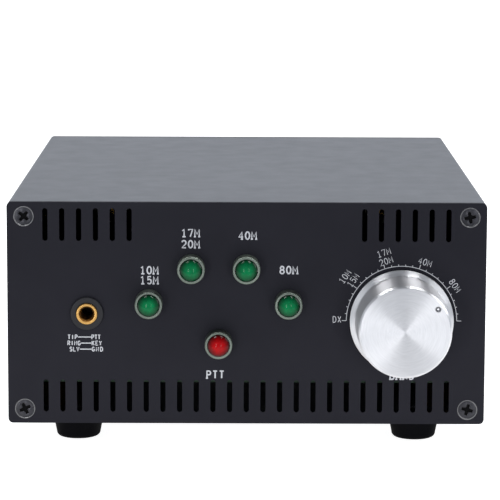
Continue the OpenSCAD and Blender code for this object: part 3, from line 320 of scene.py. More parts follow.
def plate(outline, holes, thickness, edge):
    """A flat sheet with holes on Z = 0, all in mm, its edges softened."""
    curve = bpy.data.curves.new("plate", "CURVE")
    curve.dimensions = "2D"
    curve.fill_mode = "BOTH"
    curve.extrude = thickness / 2 * MM
    for points in [outline] + holes:
        spline = curve.splines.new("POLY")
        spline.points.add(len(points) - 1)
        spline.use_cyclic_u = True
        for point, (x, y) in zip(spline.points, points):
            point.co = (x * MM, y * MM, 0, 1)
    shape = from_curve(curve)
    bmesh.ops.dissolve_limit(shape, angle_limit=math.radians(0.5), verts=shape.verts,
                             edges=shape.edges)
    soften(shape, edge * MM)
    bmesh.ops.translate(shape, verts=shape.verts, vec=(0, 0, thickness / 2 * MM))
    return shape


def oval(wide, tall, x=0.0, y=0.0, steps=40):
    """Points round an oval of these half sizes, in mm."""
    return [(x + wide * math.cos(math.tau * step / steps),
             y + tall * math.sin(math.tau * step / steps)) for step in range(steps)]


def rounded(width, radius, steps=6):
    """Points round a square with rounded corners, in mm."""
    points = []
    for quarter, (side, rise) in enumerate(((1, 1), (-1, 1), (-1, -1), (1, -1))):
        for step in range(steps + 1):
            angle = math.tau / 4 * (quarter + step / steps)
            points.append((side * (width / 2 - radius) + radius * math.cos(angle),
                           rise * (width / 2 - radius) + radius * math.sin(angle)))
    return points


def print_strokes(strokes, width, proud, sides=1):
    """Print through lists of mm points, so wide and standing so far off Z = 0 in metres."""
    curve = bpy.data.curves.new("strokes", "CURVE")
    curve.dimensions = "3D"
    curve.bevel_depth = width / 2
    curve.bevel_resolution = sides
    curve.use_fill_caps = True
    for points in strokes:
        closed = points[0] == points[-1]
        kept = points[:-1] if closed else points
        spline = curve.splines.new("POLY")
        spline.points.add(len(kept) - 1)
        spline.use_cyclic_u = closed
        for point, (x, y) in zip(spline.points, kept):
            point.co = (x * MM, y * MM, 0, 1)
    shape = from_curve(curve)
    bmesh.ops.scale(shape, verts=shape.verts, vec=(1, 1, 2 * proud / width))
    return shape


def joined(shapes):
    """Several shapes as one."""
    whole = shapes[0]
    for other in shapes[1:]:
        mesh = as_mesh(other, "joined")
        whole.from_mesh(mesh)
        bpy.data.meshes.remove(mesh)
    return whole


def cut(shape, tool):
    """The shape with the tool's volume taken out."""
    blanks = [placed("blank", as_mesh(part, "blank")) for part in (shape, tool)]
    carve = blanks[0].modifiers.new("carve", "BOOLEAN")
    carve.operation = "DIFFERENCE"
    carve.solver = "EXACT"
    carve.object = blanks[1]
    result = read_back(blanks[0])
    for blank in blanks:
        mesh = blank.data
        bpy.data.objects.remove(blank)
        bpy.data.meshes.remove(mesh)
    return result


def moved(shape, matrix):
    """The shape put in place."""
    bmesh.ops.transform(shape, matrix=matrix, verts=shape.verts)
    return shape


def on_front(x, z, proud=0.0):
    """The place on the front panel, x and z in metres, whose +Z looks out of the panel."""
    return Matrix.Translation((x, PANEL_FACE - proud, z)) @ FRONT_TURN


def on_rear(x, z, proud=0.0):
    """The place on the rear panel, x and z in metres, whose +Z looks out of the panel."""
    return Matrix.Translation((x, REAR_FACE + proud, z)) @ REAR_TURN


def ring_map(shape):
    """A UV map whose U runs round Z and whose V is the radius in mm."""
    layer = shape.loops.layers.uv.new("turning")
    for face in shape.faces:
        middle = face.calc_center_median()
        base = math.atan2(middle.y, middle.x)
        for loop in face.loops:
            spot = loop.vert.co
            radius = math.hypot(spot.x, spot.y)
            angle = math.atan2(spot.y, spot.x) if radius > 1e-6 else base
            angle += math.tau * round((base - angle) / math.tau)
            loop[layer].uv = (angle / math.tau + 0.5, radius / MM)
    return shape


def keep(shape, name, material, instead_of=(), body="chassis"):
    """The shape as a finished piece that rides on a body and stands for its CAD nodes."""
    mesh = as_mesh(shape, name)
    mesh.materials.append(material)
    for face in mesh.polygons:
        face.use_smooth = True
    mesh.set_sharp_from_angle(angle=math.radians(35))
    piece = placed(name, mesh)
    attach(piece, body)
    piece.modifiers.new("flat_faces", "WEIGHTED_NORMAL").keep_sharp = True
    if instead_of:
        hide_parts(*instead_of)


def turn_ring(node, material, profile):
    """Keep a ring turned about a node's axis, from the front panel outwards, in its stead."""
    axis = centre(node)
    keep(moved(turned(profile, ring=True), on_front(axis.x, axis.z)), node + "_turned",
         material, [node])


def dress(nodes, ending, material, edge, body="chassis", segments=2):
    """Keep CAD nodes in their own shape, their edges softened by so many metres."""
    for node in nodes:
        keep(node_copy(node, edge, segments), node + ending, material, [node], body)


# ---------------- materials

def ramp(tree, factor, start, end, low, high):
    """A number that runs from low to high as the factor runs from start to end."""
    span = tree.nodes.new("ShaderNodeMapRange")
    for name, value in (("From Min", start), ("From Max", end), ("To Min", low),
                        ("To Max", high)):
        span.inputs[name].default_value = value
    tree.links.new(factor, span.inputs["Value"])
    return span.outputs["Result"]


class Finish:
    """A material's nodes, with the few steps that most finishes share."""

    def __init__(self, name, colour, roughness, metallic=0.0, **sockets):
        self.material = bpy.data.materials.new(name)
        self.material.use_nodes = True
        self.tree = self.material.node_tree
        self.surface = self.tree.nodes["Principled BSDF"]
        self.colour = (*colour, 1)
        self.surface.inputs["Base Color"].default_value = self.colour
        self.surface.inputs["Roughness"].default_value = roughness
        self.surface.inputs["Metallic"].default_value = metallic
        for socket, value in sockets.items():
            self.surface.inputs[socket.replace("_", " ")].default_value = value
        self.roughness = roughness
        self.object_place = self.node("TexCoord").outputs["Object"]

    def node(self, kind, **values):
        made = self.tree.nodes.new("ShaderNode" + kind)
        for key, value in values.items():
            setattr(made, key, value)
        return made

    def link(self, start, end):
        self.tree.links.new(start, end)

    def noise(self, scale, detail=3.0, stretch=(1, 1, 1), source=None):
        """Noise of so many cells per metre, drawn out by the stretch."""
        mapping = self.node("Mapping")
        mapping.inputs["Scale"].default_value = stretch
        self.link(source or self.object_place, mapping.inputs["Vector"])
        cloud = self.node("TexNoise")
        cloud.inputs["Scale"].default_value = scale
        cloud.inputs["Detail"].default_value = detail
        self.link(mapping.outputs["Vector"], cloud.inputs["Vector"])
        return cloud.outputs["Fac"]

    def spread(self, factor, low, high, start=0.3, end=0.7):
        """A number from low to high; noise runs from about 0.3 to 0.7."""
        return ramp(self.tree, factor, start, end, low, high)

    def mix(self, factor, first, second):
        """A colour between two others; each may be a colour or a socket."""
        blend = self.node("Mix", data_type="RGBA")
        self.link(factor, blend.inputs["Factor"])
        for socket, value in ((blend.inputs[6], first), (blend.inputs[7], second)):
            if isinstance(value, tuple):
                socket.default_value = (*value[:3], 1)
            else:
                self.link(value, socket)
        return blend.outputs[2]

    def shaded(self, amount):
        """The base colour made darker or lighter."""
        return tuple(channel * amount for channel in self.colour[:3])

    def mottled(self, amount):
        """Colour and roughness that wander over the surface, in patches of about a cm."""
        colour = self.mix(self.spread(self.noise(60, 4), 0, 1), self.shaded(1 - amount),
                          self.shaded(1 + amount))
        self.link(colour, self.surface.inputs["Base Color"])
        roughness = self.spread(self.noise(138, 5), self.roughness * (1 - amount),
                                min(1.0, self.roughness * (1 + amount)))
        self.link(roughness, self.surface.inputs["Roughness"])

    def bumped(self, height, depth):
        """A relief of so many metres from a height socket."""
        bump = self.node("Bump")
        bump.inputs["Distance"].default_value = depth
        self.link(height, bump.inputs["Height"])
        self.link(bump.outputs["Normal"], self.surface.inputs["Normal"])

    def grained(self, scale, depth):
        """Grain of so many cells per metre and so deep in metres."""
        self.bumped(self.noise(scale), depth)


def plain(name, colour, roughness, metallic, grain, depth, amount=0.12, **sockets):
    """A mottled and grained finish."""
    finish = Finish(name, colour, roughness, metallic, **sockets)
    finish.mottled(amount)
    finish.grained(grain, depth * MICRON)
    return finish.material


def stock(name, **sockets):
    """A finish whose values are in the table of finishes."""
    screen, *values = FINISHES[name]
    return plain(name, tone(*screen), *values, **sockets)


def dome_finish(name, colour):
    """Moulded lens plastic with a polished skin; painted shade darkens it from a lighter heart to
    a dark rim.
    """
    lens = Finish(name, colour, 0.13, Specular_IOR_Level=0.13)
    across = lens.node("UVMap", uv_map="turning").outputs["UV"]
    radius = lens.node("SeparateXYZ")
    lens.link(across, radius.inputs["Vector"])
    # Painted shade: between these radii in mm the colour darkens to 6% of itself at the rim
    shade_start, edge = 1.2, 3.3
    rim_shade = lens.spread(radius.outputs["Y"], 0, 1, shade_start, edge)
    cloud = lens.mix(lens.spread(lens.noise(700), 0, 1), lens.shaded(0.75), lens.shaded(1.05))
    lens.link(lens.mix(rim_shade, cloud, lens.shaded(0.06)), lens.surface.inputs["Base Color"])
    lens.grained(900, 0.000004)
    return lens.material


def lathe_finish(name, colour, roughness, depth):
    """Turned metal: fine rings round the axis that draw its gloss out into wedges."""
    metal = Finish(name, colour, roughness, 1.0, Anisotropic=0.9, Anisotropic_Rotation=0.25)
    across = metal.node("UVMap", uv_map="turning").outputs["UV"]
    rings = metal.noise(1.0, 2, (0.0, 9.0, 0.0), across)
    metal.bumped(rings, depth)
    metal.link(metal.mix(metal.spread(metal.noise(1.0, 3, (14.0, 2.0, 0.0), across), 0, 1),
                         metal.shaded(0.93), metal.shaded(1.04)),
               metal.surface.inputs["Base Color"])
    tangent = metal.node("Tangent", direction_type="UV_MAP", uv_map="turning")
    metal.link(tangent.outputs["Tangent"], metal.surface.inputs["Tangent"])
    return metal.material


# ---------------- lettering

def bow(x, y, wide, tall, start, end, steps=14):
    """Points along part of an oval, in letter units."""
    return [(x + wide * math.cos(math.radians(start + (end - start) * step / steps)),
             y + tall * math.sin(math.radians(start + (end - start) * step / steps)))
            for step in range(steps + 1)]


# Strokes of each letter, and the middles of its serifs, in shares of its height
LETTERS = {
    "0": [bow(0.32, 0.5, 0.28, 0.5, 0, 360, 24)],
    "1": [[(0.12, 0.8), (0.34, 1), (0.34, 0)], [(0.12, 0), (0.56, 0)]],
    "2": [bow(0.32, 0.7, 0.27, 0.3, 165, -35) + [(0.06, 0), (0.6, 0)]],
    "4": [[(0.46, 0), (0.46, 1), (0.04, 0.3), (0.62, 0.3)]],
    "5": [[(0.56, 1), (0.14, 1)] + bow(0.32, 0.32, 0.27, 0.32, 140, -145)],
    "7": [[(0.06, 0.86), (0.06, 1), (0.6, 1), (0.28, 0)]],
    "8": [bow(0.32, 0.76, 0.22, 0.24, 0, 360, 20), bow(0.32, 0.26, 0.27, 0.26, 0, 360, 20)],
    "A": [[(0.02, 0), (0.32, 1), (0.62, 0)], [(0.14, 0.34), (0.5, 0.34)]],
    "B": [[(0.08, 0), (0.08, 1)] + bow(0.34, 0.76, 0.22, 0.24, 90, -90) + [(0.08, 0.52)],
          [(0.34, 0.52)] + bow(0.34, 0.26, 0.26, 0.26, 90, -90) + [(0.08, 0)]],
    "D": [[(0.08, 0.5), (0.08, 1)] + bow(0.26, 0.5, 0.34, 0.5, 90, -90)
          + [(0.08, 0), (0.08, 0.5)]],
    "E": [[(0.58, 1), (0.08, 1), (0.08, 0), (0.58, 0)], [(0.08, 0.52), (0.46, 0.52)]],
    "G": [bow(0.34, 0.5, 0.28, 0.5, 45, 330) + [(0.6, 0.46), (0.38, 0.46)]],
    "I": [[(0.32, 0), (0.32, 1)]],
    "K": [[(0.08, 0), (0.08, 1)], [(0.58, 1), (0.08, 0.4)], [(0.22, 0.56), (0.6, 0)]],
    "L": [[(0.1, 1), (0.1, 0), (0.58, 0)]],
    "M": [[(0.0, 0), (0.0, 1), (0.3, 0.33), (0.6, 1), (0.6, 0)]],
    "N": [[(0.06, 0), (0.06, 1), (0.58, 0), (0.58, 1)]],
    "P": [[(0.1, 0), (0.1, 1)] + bow(0.34, 0.74, 0.26, 0.26, 90, -90) + [(0.1, 0.48)]],
    "R": [[(0.1, 0), (0.1, 1)] + bow(0.34, 0.74, 0.24, 0.26, 90, -90) + [(0.1, 0.48)],
          [(0.34, 0.48), (0.6, 0)]],
    "S": [bow(0.33, 0.75, 0.24, 0.25, 30, 250, 12) + bow(0.31, 0.26, 0.26, 0.26, 70, -150, 12)],
    "T": [[(0.04, 1), (0.6, 1)], [(0.32, 1), (0.32, 0)]],
    "V": [[(0.04, 1), (0.32, 0), (0.6, 1)]],
    "X": [[(0.06, 0), (0.58, 1)], [(0.06, 1), (0.58, 0)]],
    "Y": [[(0.04, 1), (0.32, 0.5), (0.6, 1)], [(0.32, 0.5), (0.32, 0)]],
}
SERIFS = {
    "4": [(0.46, 0)], "A": [(0.02, 0), (0.62, 0)], "B": [(0.08, 0)], "M": [(0.0, 0), (0.6, 0)],
    "N": [(0.06, 0), (0.58, 1)], "P": [(0.1, 0)],
}
LETTER_WIDTH = 0.64
SERIF_REACH = 0.14


def word(text, x, z, height, pitch, turn=0.0, slab=False, narrow=1.0):
    """Strokes of a word centred on a point, in mm; the turn is in degrees."""
    strokes = []
    start = -pitch * len(text) / 2 + (pitch - LETTER_WIDTH * height * narrow) / 2
    for place, letter in enumerate(text):
        drawn = list(LETTERS[letter])
        if slab:
            drawn += [[(foot - SERIF_REACH, rise), (foot + SERIF_REACH, rise)]
                      for foot, rise in SERIFS.get(letter, ())]
        for stroke in drawn:
            strokes.append([((start + place * pitch) + across * height * narrow,
                             (up - 0.5) * height) for across, up in stroke])
    angle = math.radians(turn)
    return [[(x + across * math.cos(angle) - up * math.sin(angle),
              z + across * math.sin(angle) + up * math.cos(angle)) for across, up in stroke]
            for stroke in strokes]


def dial_point(radius, angle):
    """A point about the knob's axis, in mm from the panel's centre; the angle is in degrees."""
    return ((KNOB_AXIS.x - PANEL_MID.x) / MM + radius * math.cos(math.radians(angle)),
            (KNOB_AXIS.z - PANEL_MID.z) / MM + radius * math.sin(math.radians(angle)))


# ---------------- operators

class AMPLIFIER_OT_case(Operator):
    """Paint and soften the two halves of the case"""
    bl_idname = "amplifier.case"
    bl_label = "Case"

    def execute(self, context):
        settings = context.scene.amplifier_case
        paint = plain("case_paint", settings.case_colour, 0.42, 0, 2600, 20, 0.05,
                      Specular_IOR_Level=0.5)
        dress(("case_lower", "case_upper"), "_shell", paint, settings.edge)
        return {"FINISHED"}


class AMPLIFIER_OT_panels(Operator):
    """Make the anodised front and rear panels"""
    bl_idname = "amplifier.panels"
    bl_label = "Panels"

    def execute(self, context):
        settings = context.scene.amplifier_case
        black = plain("panel_anodising", settings.panel_colour, 0.55, 0, 4200, 12, 0.06,
                      Specular_IOR_Level=0.16, Specular_Tint=(0.85, 0.88, 1.0, 1))
        dress(("front_panel", "rear_panel"), "_sheet", black,
              settings.edge * 0.6)
        return {"FINISHED"}


class AMPLIFIER_OT_screws(Operator):
    """Make the blackened screws of the panels and the bright ones of the rest"""
    bl_idname = "amplifier.screws"
    bl_label = "Screws"

    def execute(self, context):
        settings = context.scene.amplifier_case
        black = plain("black_oxide", settings.screw_colour, 0.3, 1, 5000, 20, 0.3)
        # Flat black plates that paint shade into the cross recesses of the panel screws
        recess_shade_finish = stock("recess_painted_shade", Specular_IOR_Level=0.1)
        bare = plain("bare_seat", settings.sink_colour, 0.35, 1, 3000, 10, 0.3)
        steel = stock("screw_steel")
        dress(["fan_screws"], "_set", black, 0.0001)

        reach, sunk = 2.95 * MM, 0.25 * MM
        arm, half, fillet = 1.75, 0.42, 0.15
        cross = []
        for quarter in range(4):
            for x, y in ((arm, -half), (arm, half), (half + fillet, half + fillet)):
                for _ in range(quarter):
                    x, y = -y, x
                cross.append((x, y))
        recess = Matrix.Translation((0, 0, -1.1 * MM))
        recess_floor = Matrix.Translation((0, 0, -1.09 * MM))
        head = cut(turned([(0, 0), (2.8, 0), (2.9, -0.04), (2.93, -0.12), (1.5, -1.45),
                           (1.5, -9.9), (0, -9.9)], 48),
                   moved(plate(cross, [], 1.5, 0), recess))
        soften(head, 0.00012, 2, 40)
        seat = turned([(2.72, -0.33), (3.02, 0.0), (3.06, 0.012), (2.9, 0.012), (2.7, -0.2)],
                      40, ring=True)
        for side, spot in (("front", on_front), ("rear", on_rear)):
            low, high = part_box(side + "_panel_screws")
            seats, heads, cross_shades = [], [], []
            for x in (low[0] + reach, high[0] - reach):
                for z in (low[2] + reach, high[2] - reach):
                    seats.append(moved(seat.copy(), spot(x, z)))
                    place = spot(x, z, -sunk) @ Matrix.Rotation(
                        settings.screw_turn * (1 + len(heads)), 4, "Z")
                    heads.append(moved(head.copy(), place))
                    # A black cross at the foot of each recess: painted shade
                    cross_shades.append(moved(plate(cross, [], 0.7, 0), place @ recess_floor))
            keep(joined(cross_shades), side + "_screw_painted_shade", recess_shade_finish)
            keep(joined(heads), side + "_panel_screws_set", black,
                 [side + "_panel_screws"])
            keep(joined(seats), side + "_screw_seats", bare)
        head.free()
        seat.free()

        dress(("foot_screws", "coax_screws", "board_screws"), "_set", steel,
              0.00006)
        keep(node_copy("knob_grub_screw", 0.00006), "grub_screw", steel,
             ["knob_grub_screw"], "band_control")
        return {"FINISHED"}


class AMPLIFIER_OT_feet(Operator):
    """Turn the four rubber feet"""
    bl_idname = "amplifier.feet"
    bl_label = "Feet"

    def execute(self, context):
        settings = context.scene.amplifier_case
        rubber = plain("foot_rubber", settings.rubber_colour, 0.7, 0, 1800, 20, 0.2,
                       Specular_IOR_Level=0.03)
        spread = Matrix.Diagonal((settings.foot_spread, settings.foot_spread, 1, 1))
        for node in ("foot_front_left", "foot_front_right", "foot_rear_left",
                     "foot_rear_right"):
            axis = Matrix.Translation(centre(node))
            keep(moved(node_copy(node, 0.0002), axis @ spread @ axis.inverted()),
                 node + "_bumper", rubber, [node])
        return {"FINISHED"}


class AMPLIFIER_OT_lamps(Operator):
    """Turn the bezels and lenses of the five lamps"""
    bl_idname = "amplifier.lamps"
    bl_label = "Lamps"

    def execute(self, context):
        settings = context.scene.amplifier_lamps
        chrome = plain("bezel_plating", settings.bezel, 0.48, 1, 2500, 10, 0.2)
        lenses = {"green": dome_finish("lens_green", settings.green),
                  "red": dome_finish("lens_red", settings.red)}
        dome_radius, dome_edge, dome_top, steps = 4.3605, 3.29, 7.4, 12
        dome = [(0, -11.0), (3.55, -11.0), (3.55, 4.5), (3.28, 5.1)]
        for step in range(steps):
            angle = math.asin(dome_edge / dome_radius) * (1 - step / steps)
            dome.append((dome_radius * math.sin(angle),
                         dome_top - dome_radius * (1 - math.cos(angle))))
        dome.append((0, dome_top))
        for name in ("1", "2", "3", "4", "red"):
            bezel, lens = "lamp_bezel_" + name, "lamp_lens_" + name
            turn_ring(bezel, chrome, [
                (3.62, 4.6), (3.62, -13.0), (4.0, -13.0), (4.0, 0.0), (4.2, 0.0), (4.2, 5.1),
                (4.12, 5.34), (3.95, 5.47), (3.6, 5.5), (3.42, 5.46), (3.32, 5.34),
                (3.3, 5.15)])
            axis, colour = centre(bezel), "red" if name == "red" else "green"
            keep(moved(ring_map(turned(dome)), on_front(axis.x, axis.z)), lens + "_dome",
                 lenses[colour], [lens])
        return {"FINISHED"}


class AMPLIFIER_OT_knob(Operator):
    """Turn the band knob"""
    bl_idname = "amplifier.knob"
    bl_label = "Band knob"

    def execute(self, context):
        settings = context.scene.amplifier_knob
        front = (PANEL_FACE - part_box("band_knob")[0][1]) / MM
        face, rings = 13.25, 12
        profile = [(0, 14.2), (3.05, 14.2), (3.05, 5.0), (10.0, 5.0), (10.0, 1.0), (15.5, 1.0),
                   (15.69, 1.1), (15.75, 1.3), (15.75, 1.62), (15.68, 1.78), (15.5, 1.88),
                   (14.5, 2.52), (14.25, 2.74), (14.2, 3.1), (13.91, front - 0.7),
                   (13.86, front - 0.55), (13.38, front - 0.06)]
        profile += [(face * (1 - ring / rings), front) for ring in range(rings + 1)]
        knob = turned(profile, 128)

        dimple_reach, dimple_angle = 11.9 * MM, math.radians(36)
        dimple_x = dimple_reach * math.cos(dimple_angle)
        dimple_z = dimple_reach * math.sin(dimple_angle)
        dimple = turned([(0, -0.4), (0.5, -0.4), (0.75, -0.28), (0.9, 0), (0.9, 1), (0, 1)], 32)
        knob = cut(knob, moved(dimple, Matrix.Translation((dimple_x, dimple_z, front * MM))))

        drill_radius, drill_start, drill_length, drill_angle = 1.55, 9.0 * MM, 8, 216
        height = PANEL_FACE - centre("knob_grub_screw").y
        drill = turned([(0, 0), (drill_radius, 0), (drill_radius, drill_length),
                        (0, drill_length)], 32)
        knob = cut(knob, moved(drill, Matrix.Rotation(math.radians(drill_angle), 4, "Z")
                               @ Matrix.Translation((drill_start, 0, height))
                               @ Matrix.Rotation(math.radians(90), 4, "Y")))
        metal = lathe_finish("turned_aluminium", settings.metal, 0.36, settings.mark)
        keep(moved(ring_map(knob), on_front(KNOB_AXIS.x, KNOB_AXIS.z)), "band_knob_turned",
             metal, ["band_knob"], "band_control")

        # A grey ring on the walls of the pointer dimple, its middle left bare: painted shade in
        # the dimple
        wall_shade = turned([(0.3, -0.39), (0.5, -0.39), (0.7, -0.3), (0.76, -0.22), (0.6, -0.27),
                       (0.4, -0.32)], 32, ring=True)
        keep(moved(wall_shade, on_front(KNOB_AXIS.x + dimple_x, KNOB_AXIS.z + dimple_z, front * MM)),
             "pointer_dimple_shade", stock("pointer_painted_shade"), body="band_control")
        return {"FINISHED"}


class AMPLIFIER_OT_jack(Operator):
    """Turn the keying jack and its collar"""
    bl_idname = "amplifier.jack"
    bl_label = "Keying jack"

    def execute(self, context):
        black = stock("jack_plastic", Specular_IOR_Level=0.3)
        turn_ring("jack_bushing", stock("jack_gold"), [
            (1.8, -6.5), (3.1, -6.5), (3.1, -0.2), (3.2, 0), (3.2, 1.45), (3.15, 1.6),
            (3.02, 1.68), (2.9, 1.7), (2.55, 1.7), (2.42, 1.66), (1.9, 0.9), (1.82, 0.7),
            (1.8, 0.4)])
        turn_ring("jack_collar", black, [
            (3.25, 0), (4.95, 0), (5.0, 0.1), (5.0, 0.85), (4.9, 1.02), (4.7, 1.1),
            (3.45, 1.1), (3.3, 1.04), (3.25, 0.9)])
        dress(["jack_body"], "_moulded", black, 0.00015)
        return {"FINISHED"}


class AMPLIFIER_OT_legend(Operator):
    """Print the lamp labels, the jack legend and the band dial"""
    bl_idname = "amplifier.legend"
    bl_label = "Lettering"

    def execute(self, context):
        settings = context.scene.amplifier_legend
        ink = plain("panel_ink", settings.ink, 0.6, 0, 6000, 4, 0.08)
        middle = on_front(PANEL_MID.x, PANEL_MID.z)
        fine, hair = 0.0003, 0.0002

        labels = []
        height, pitch = 2.2, 2.0
        for text, x, z in LAMP_LABELS:
            labels += word(text, x, z, height, pitch, slab=True)
        keep(moved(print_strokes(labels, settings.stroke, settings.proud, 2), middle),
             "lamp_labels", ink)

        notes = []
        height, first_row, row_pitch, dash_end = 1.25, -7.35, 1.87, -47.1
        for row, (first, last, left, right, pitch) in enumerate(JACK_NOTES):
            z = first_row - row_pitch * row
            notes += word(first, left - 0.55 * len(first), z, height, 1.05)
            notes += word(last, right, z, height, pitch) + [[(left, z), (dash_end, z)]]
        keep(moved(print_strokes(notes, fine, settings.proud), middle), "jack_notes", ink)

        radius, long_tick, short_tick, ticks, tick_angle = 16.75, 18.1, 17.3, 26, 7.2
        dial = [[dial_point(radius, 3 * step) for step in range(61)]]
        for tick in range(ticks):
            reach = short_tick if tick % 5 else long_tick
            dial.append([dial_point(distance, tick_angle * tick)
                         for distance in (radius, reach)])
        height, pitch = 1.85, 1.5
        for text, angle, distance, turn in DIAL_LABELS:
            dial += word(text, *dial_point(distance, angle), height, pitch, turn, narrow=0.92)
        keep(moved(print_strokes(dial, hair, settings.proud), middle), "band_dial", ink)
        return {"FINISHED"}


class AMPLIFIER_OT_sockets(Operator):
    """Make the two threaded coaxial sockets and their contacts"""
    bl_idname = "amplifier.sockets"
    bl_label = "Coaxial sockets"

    def execute(self, context):
        settings = context.scene.amplifier_rear
        nickel = plain("socket_nickel", settings.nickel, 0.24, 1, 1800, 4)
        flange_side, hole_reach = 25.4, 9.1
        flange = plate(rounded(flange_side, 1.5),
                       [oval(7.0, 7.0)] + [oval(1.6, 1.6, hole_reach * right, hole_reach * up, 24)
                                           for right in (-1, 1) for up in (-1, 1)], 2.0, 0.15)
        barrel = turned([(6.4, 0.05), (7.3, 0.05), (7.3, 15.3), (7.0, 15.9), (6.9, 16.0),
                         (6.55, 16.0), (6.4, 15.85)], ring=True)

        root, crest, start, pitch = 7.25, 7.86, 3.6, settings.thread_pitch / MM
        ridge = [(radius, start + pitch * rise) for radius, rise in (
            (root, 0), (crest, 0.36), (crest, 0.46), (root, 0.82))]
        thread = turned(ridge, 48, turns=settings.thread_turns, pitch=pitch)

        shell = joined([flange, barrel, thread])
        for node in ("coax_input_shell", "coax_output_shell"):
            axis = centre(node)
            keep(moved(shell.copy(), on_rear(axis.x, axis.z)), node + "_turned", nickel,
                 [node])
        shell.free()
        dress(["coax_insulators"], "_moulded", stock("socket_insulator"), 0.0001)
        dress(("coax_contacts", "inlet_contacts"), "_plated", stock("contact_gold"),
              0.0001)
        return {"FINISHED"}


class AMPLIFIER_OT_power(Operator):
    """Mould the power inlet and the power rocker, and turn the ground terminal"""
    bl_idname = "amplifier.power"
    bl_label = "Power fittings"

    def execute(self, context):
        settings = context.scene.amplifier_rear
        red = plain("rocker_red", settings.red, 0.3, 0, 900, 10, Coat_Weight=0.3)
        nickel = plain("nut_nickel", settings.nickel, 0.3, 1, 1800, 6)
        dress(("power_inlet", "rocker_frame"), "_moulded", stock("moulded_black"),
              0.0003)
        dress(["power_rocker"], "_moulded", red, 0.0003, "rocker", 3)
        dress(["ground_stud"], "_turned", stock("terminal_brass"), 0.00012)
        dress(["ground_nuts"], "_turned", nickel, 0.00015)
        return {"FINISHED"}


class AMPLIFIER_OT_fan(Operator):
    """Mould the fan's frame and impeller"""
    bl_idname = "amplifier.fan"
    bl_label = "Fan"

    def execute(self, context):
        black = stock("fan_plastic")
        dress(["fan_frame"], "_moulded", black, 0.0003)

        hub, tip, foot, rise, blades = 10.8, 22.2, 0.9, 8.3, 7
        twist, sweep, belly = 0.62, 0.22, 0.12
        wall = 0.0  # The blades are closed sheets, one face on the other
        blade = bmesh.new()
        bmesh.ops.create_grid(blade, x_segments=8, y_segments=8, size=0.5)
        for vert in blade.verts:
            out, up = vert.co.x + 0.5, vert.co.y + 0.5
            radius = hub + (tip - hub) * out
            angle = twist * up + sweep * out ** 2 + belly * math.sin(math.pi * up)
            vert.co = Vector((radius * math.cos(angle), radius * math.sin(angle),
                              foot + rise * up)) * MM
        bmesh.ops.solidify(blade, geom=blade.faces[:], thickness=wall * MM)
        bmesh.ops.recalc_face_normals(blade, faces=blade.faces)
        cup = turned([(0, 0), (10.2, 0), (hub, 0.2), (11.0, 0.8), (11.0, 10.1), (9.5, 10.1),
                      (9.5, 1.5), (1.5, 1.5), (1.5, 10.6), (0, 10.6)], 48)
        impeller = joined([cup] + [
            moved(blade.copy(), Matrix.Rotation(math.tau * turn / blades, 4, "Z"))
            for turn in range(blades)])
        blade.free()
        axis, inner_end = centre("fan_impeller"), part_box("fan_impeller")[1][1]
        keep(moved(impeller, Matrix.Translation((axis.x, inner_end, axis.z)) @ FRONT_TURN),
             "fan_impeller_moulded", black, ["fan_impeller"], "fan_rotor")
        return {"FINISHED"}


class AMPLIFIER_OT_inside(Operator):
    """Finish the band switch, the board and what stands on it"""
    bl_idname = "amplifier.inside"
    bl_label = "Inner parts"

    def execute(self, context):
        settings = context.scene.amplifier_inside
        finishes = {name: stock(name) for name in dict.fromkeys(row[2] for row in INNER_PARTS)}
        for node, ending, finish, slot, edge in INNER_PARTS:
            turns_with_knob = node in ("switch_shaft", "switch_rotors")
            dress([node], ending, finishes[finish], edge * MM,
                  "band_control" if turns_with_knob else "chassis")

        low, high = (Vector(corner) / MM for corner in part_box("filter_coils"))
        outer, hole = settings.coil / 2 / MM, settings.coil_hole / 2 / MM
        middle, tall = (outer + hole) / 2, high.z - low.z
        columns, rows, wire, wire_reach = 5, 2, 0.35, 1.22
        core = turned(oval(1.1, 1.85, middle, tall / 2, 16), 40, ring=True)
        loop = turned(oval(wire / 1.6, wire, 1, 0, 8), 20, ring=True)
        wound = (Matrix.Translation(Vector((middle, 0, tall / 2)) * MM) @ FRONT_TURN
                 @ Matrix.Diagonal(((outer - hole) / 2 / wire_reach, tall / 2 / wire_reach,
                                    1, 1)))
        cores, turns = [], []
        for column in range(columns):
            for row in range(rows):
                x = low.x + outer + (high.x - low.x - 2 * outer) * column / (columns - 1)
                y = low.y + outer + (high.y - low.y - 2 * outer) * row / (rows - 1)
                place = Matrix.Translation(Vector((x, y, low.z)) * MM)
                cores.append(moved(core.copy(), place))
                for turn in range(settings.coil_turns):
                    angle = math.radians(30 + 300 * turn / (settings.coil_turns - 1))
                    turns.append(moved(loop.copy(),
                                       place @ Matrix.Rotation(angle, 4, "Z") @ wound))
        core.free()
        loop.free()
        keep(joined(cores), "filter_coil_cores", stock("coil_core"),
             ["filter_coils"])
        keep(joined(turns), "filter_coil_turns", stock("enamelled_copper"))
        return {"FINISHED"}


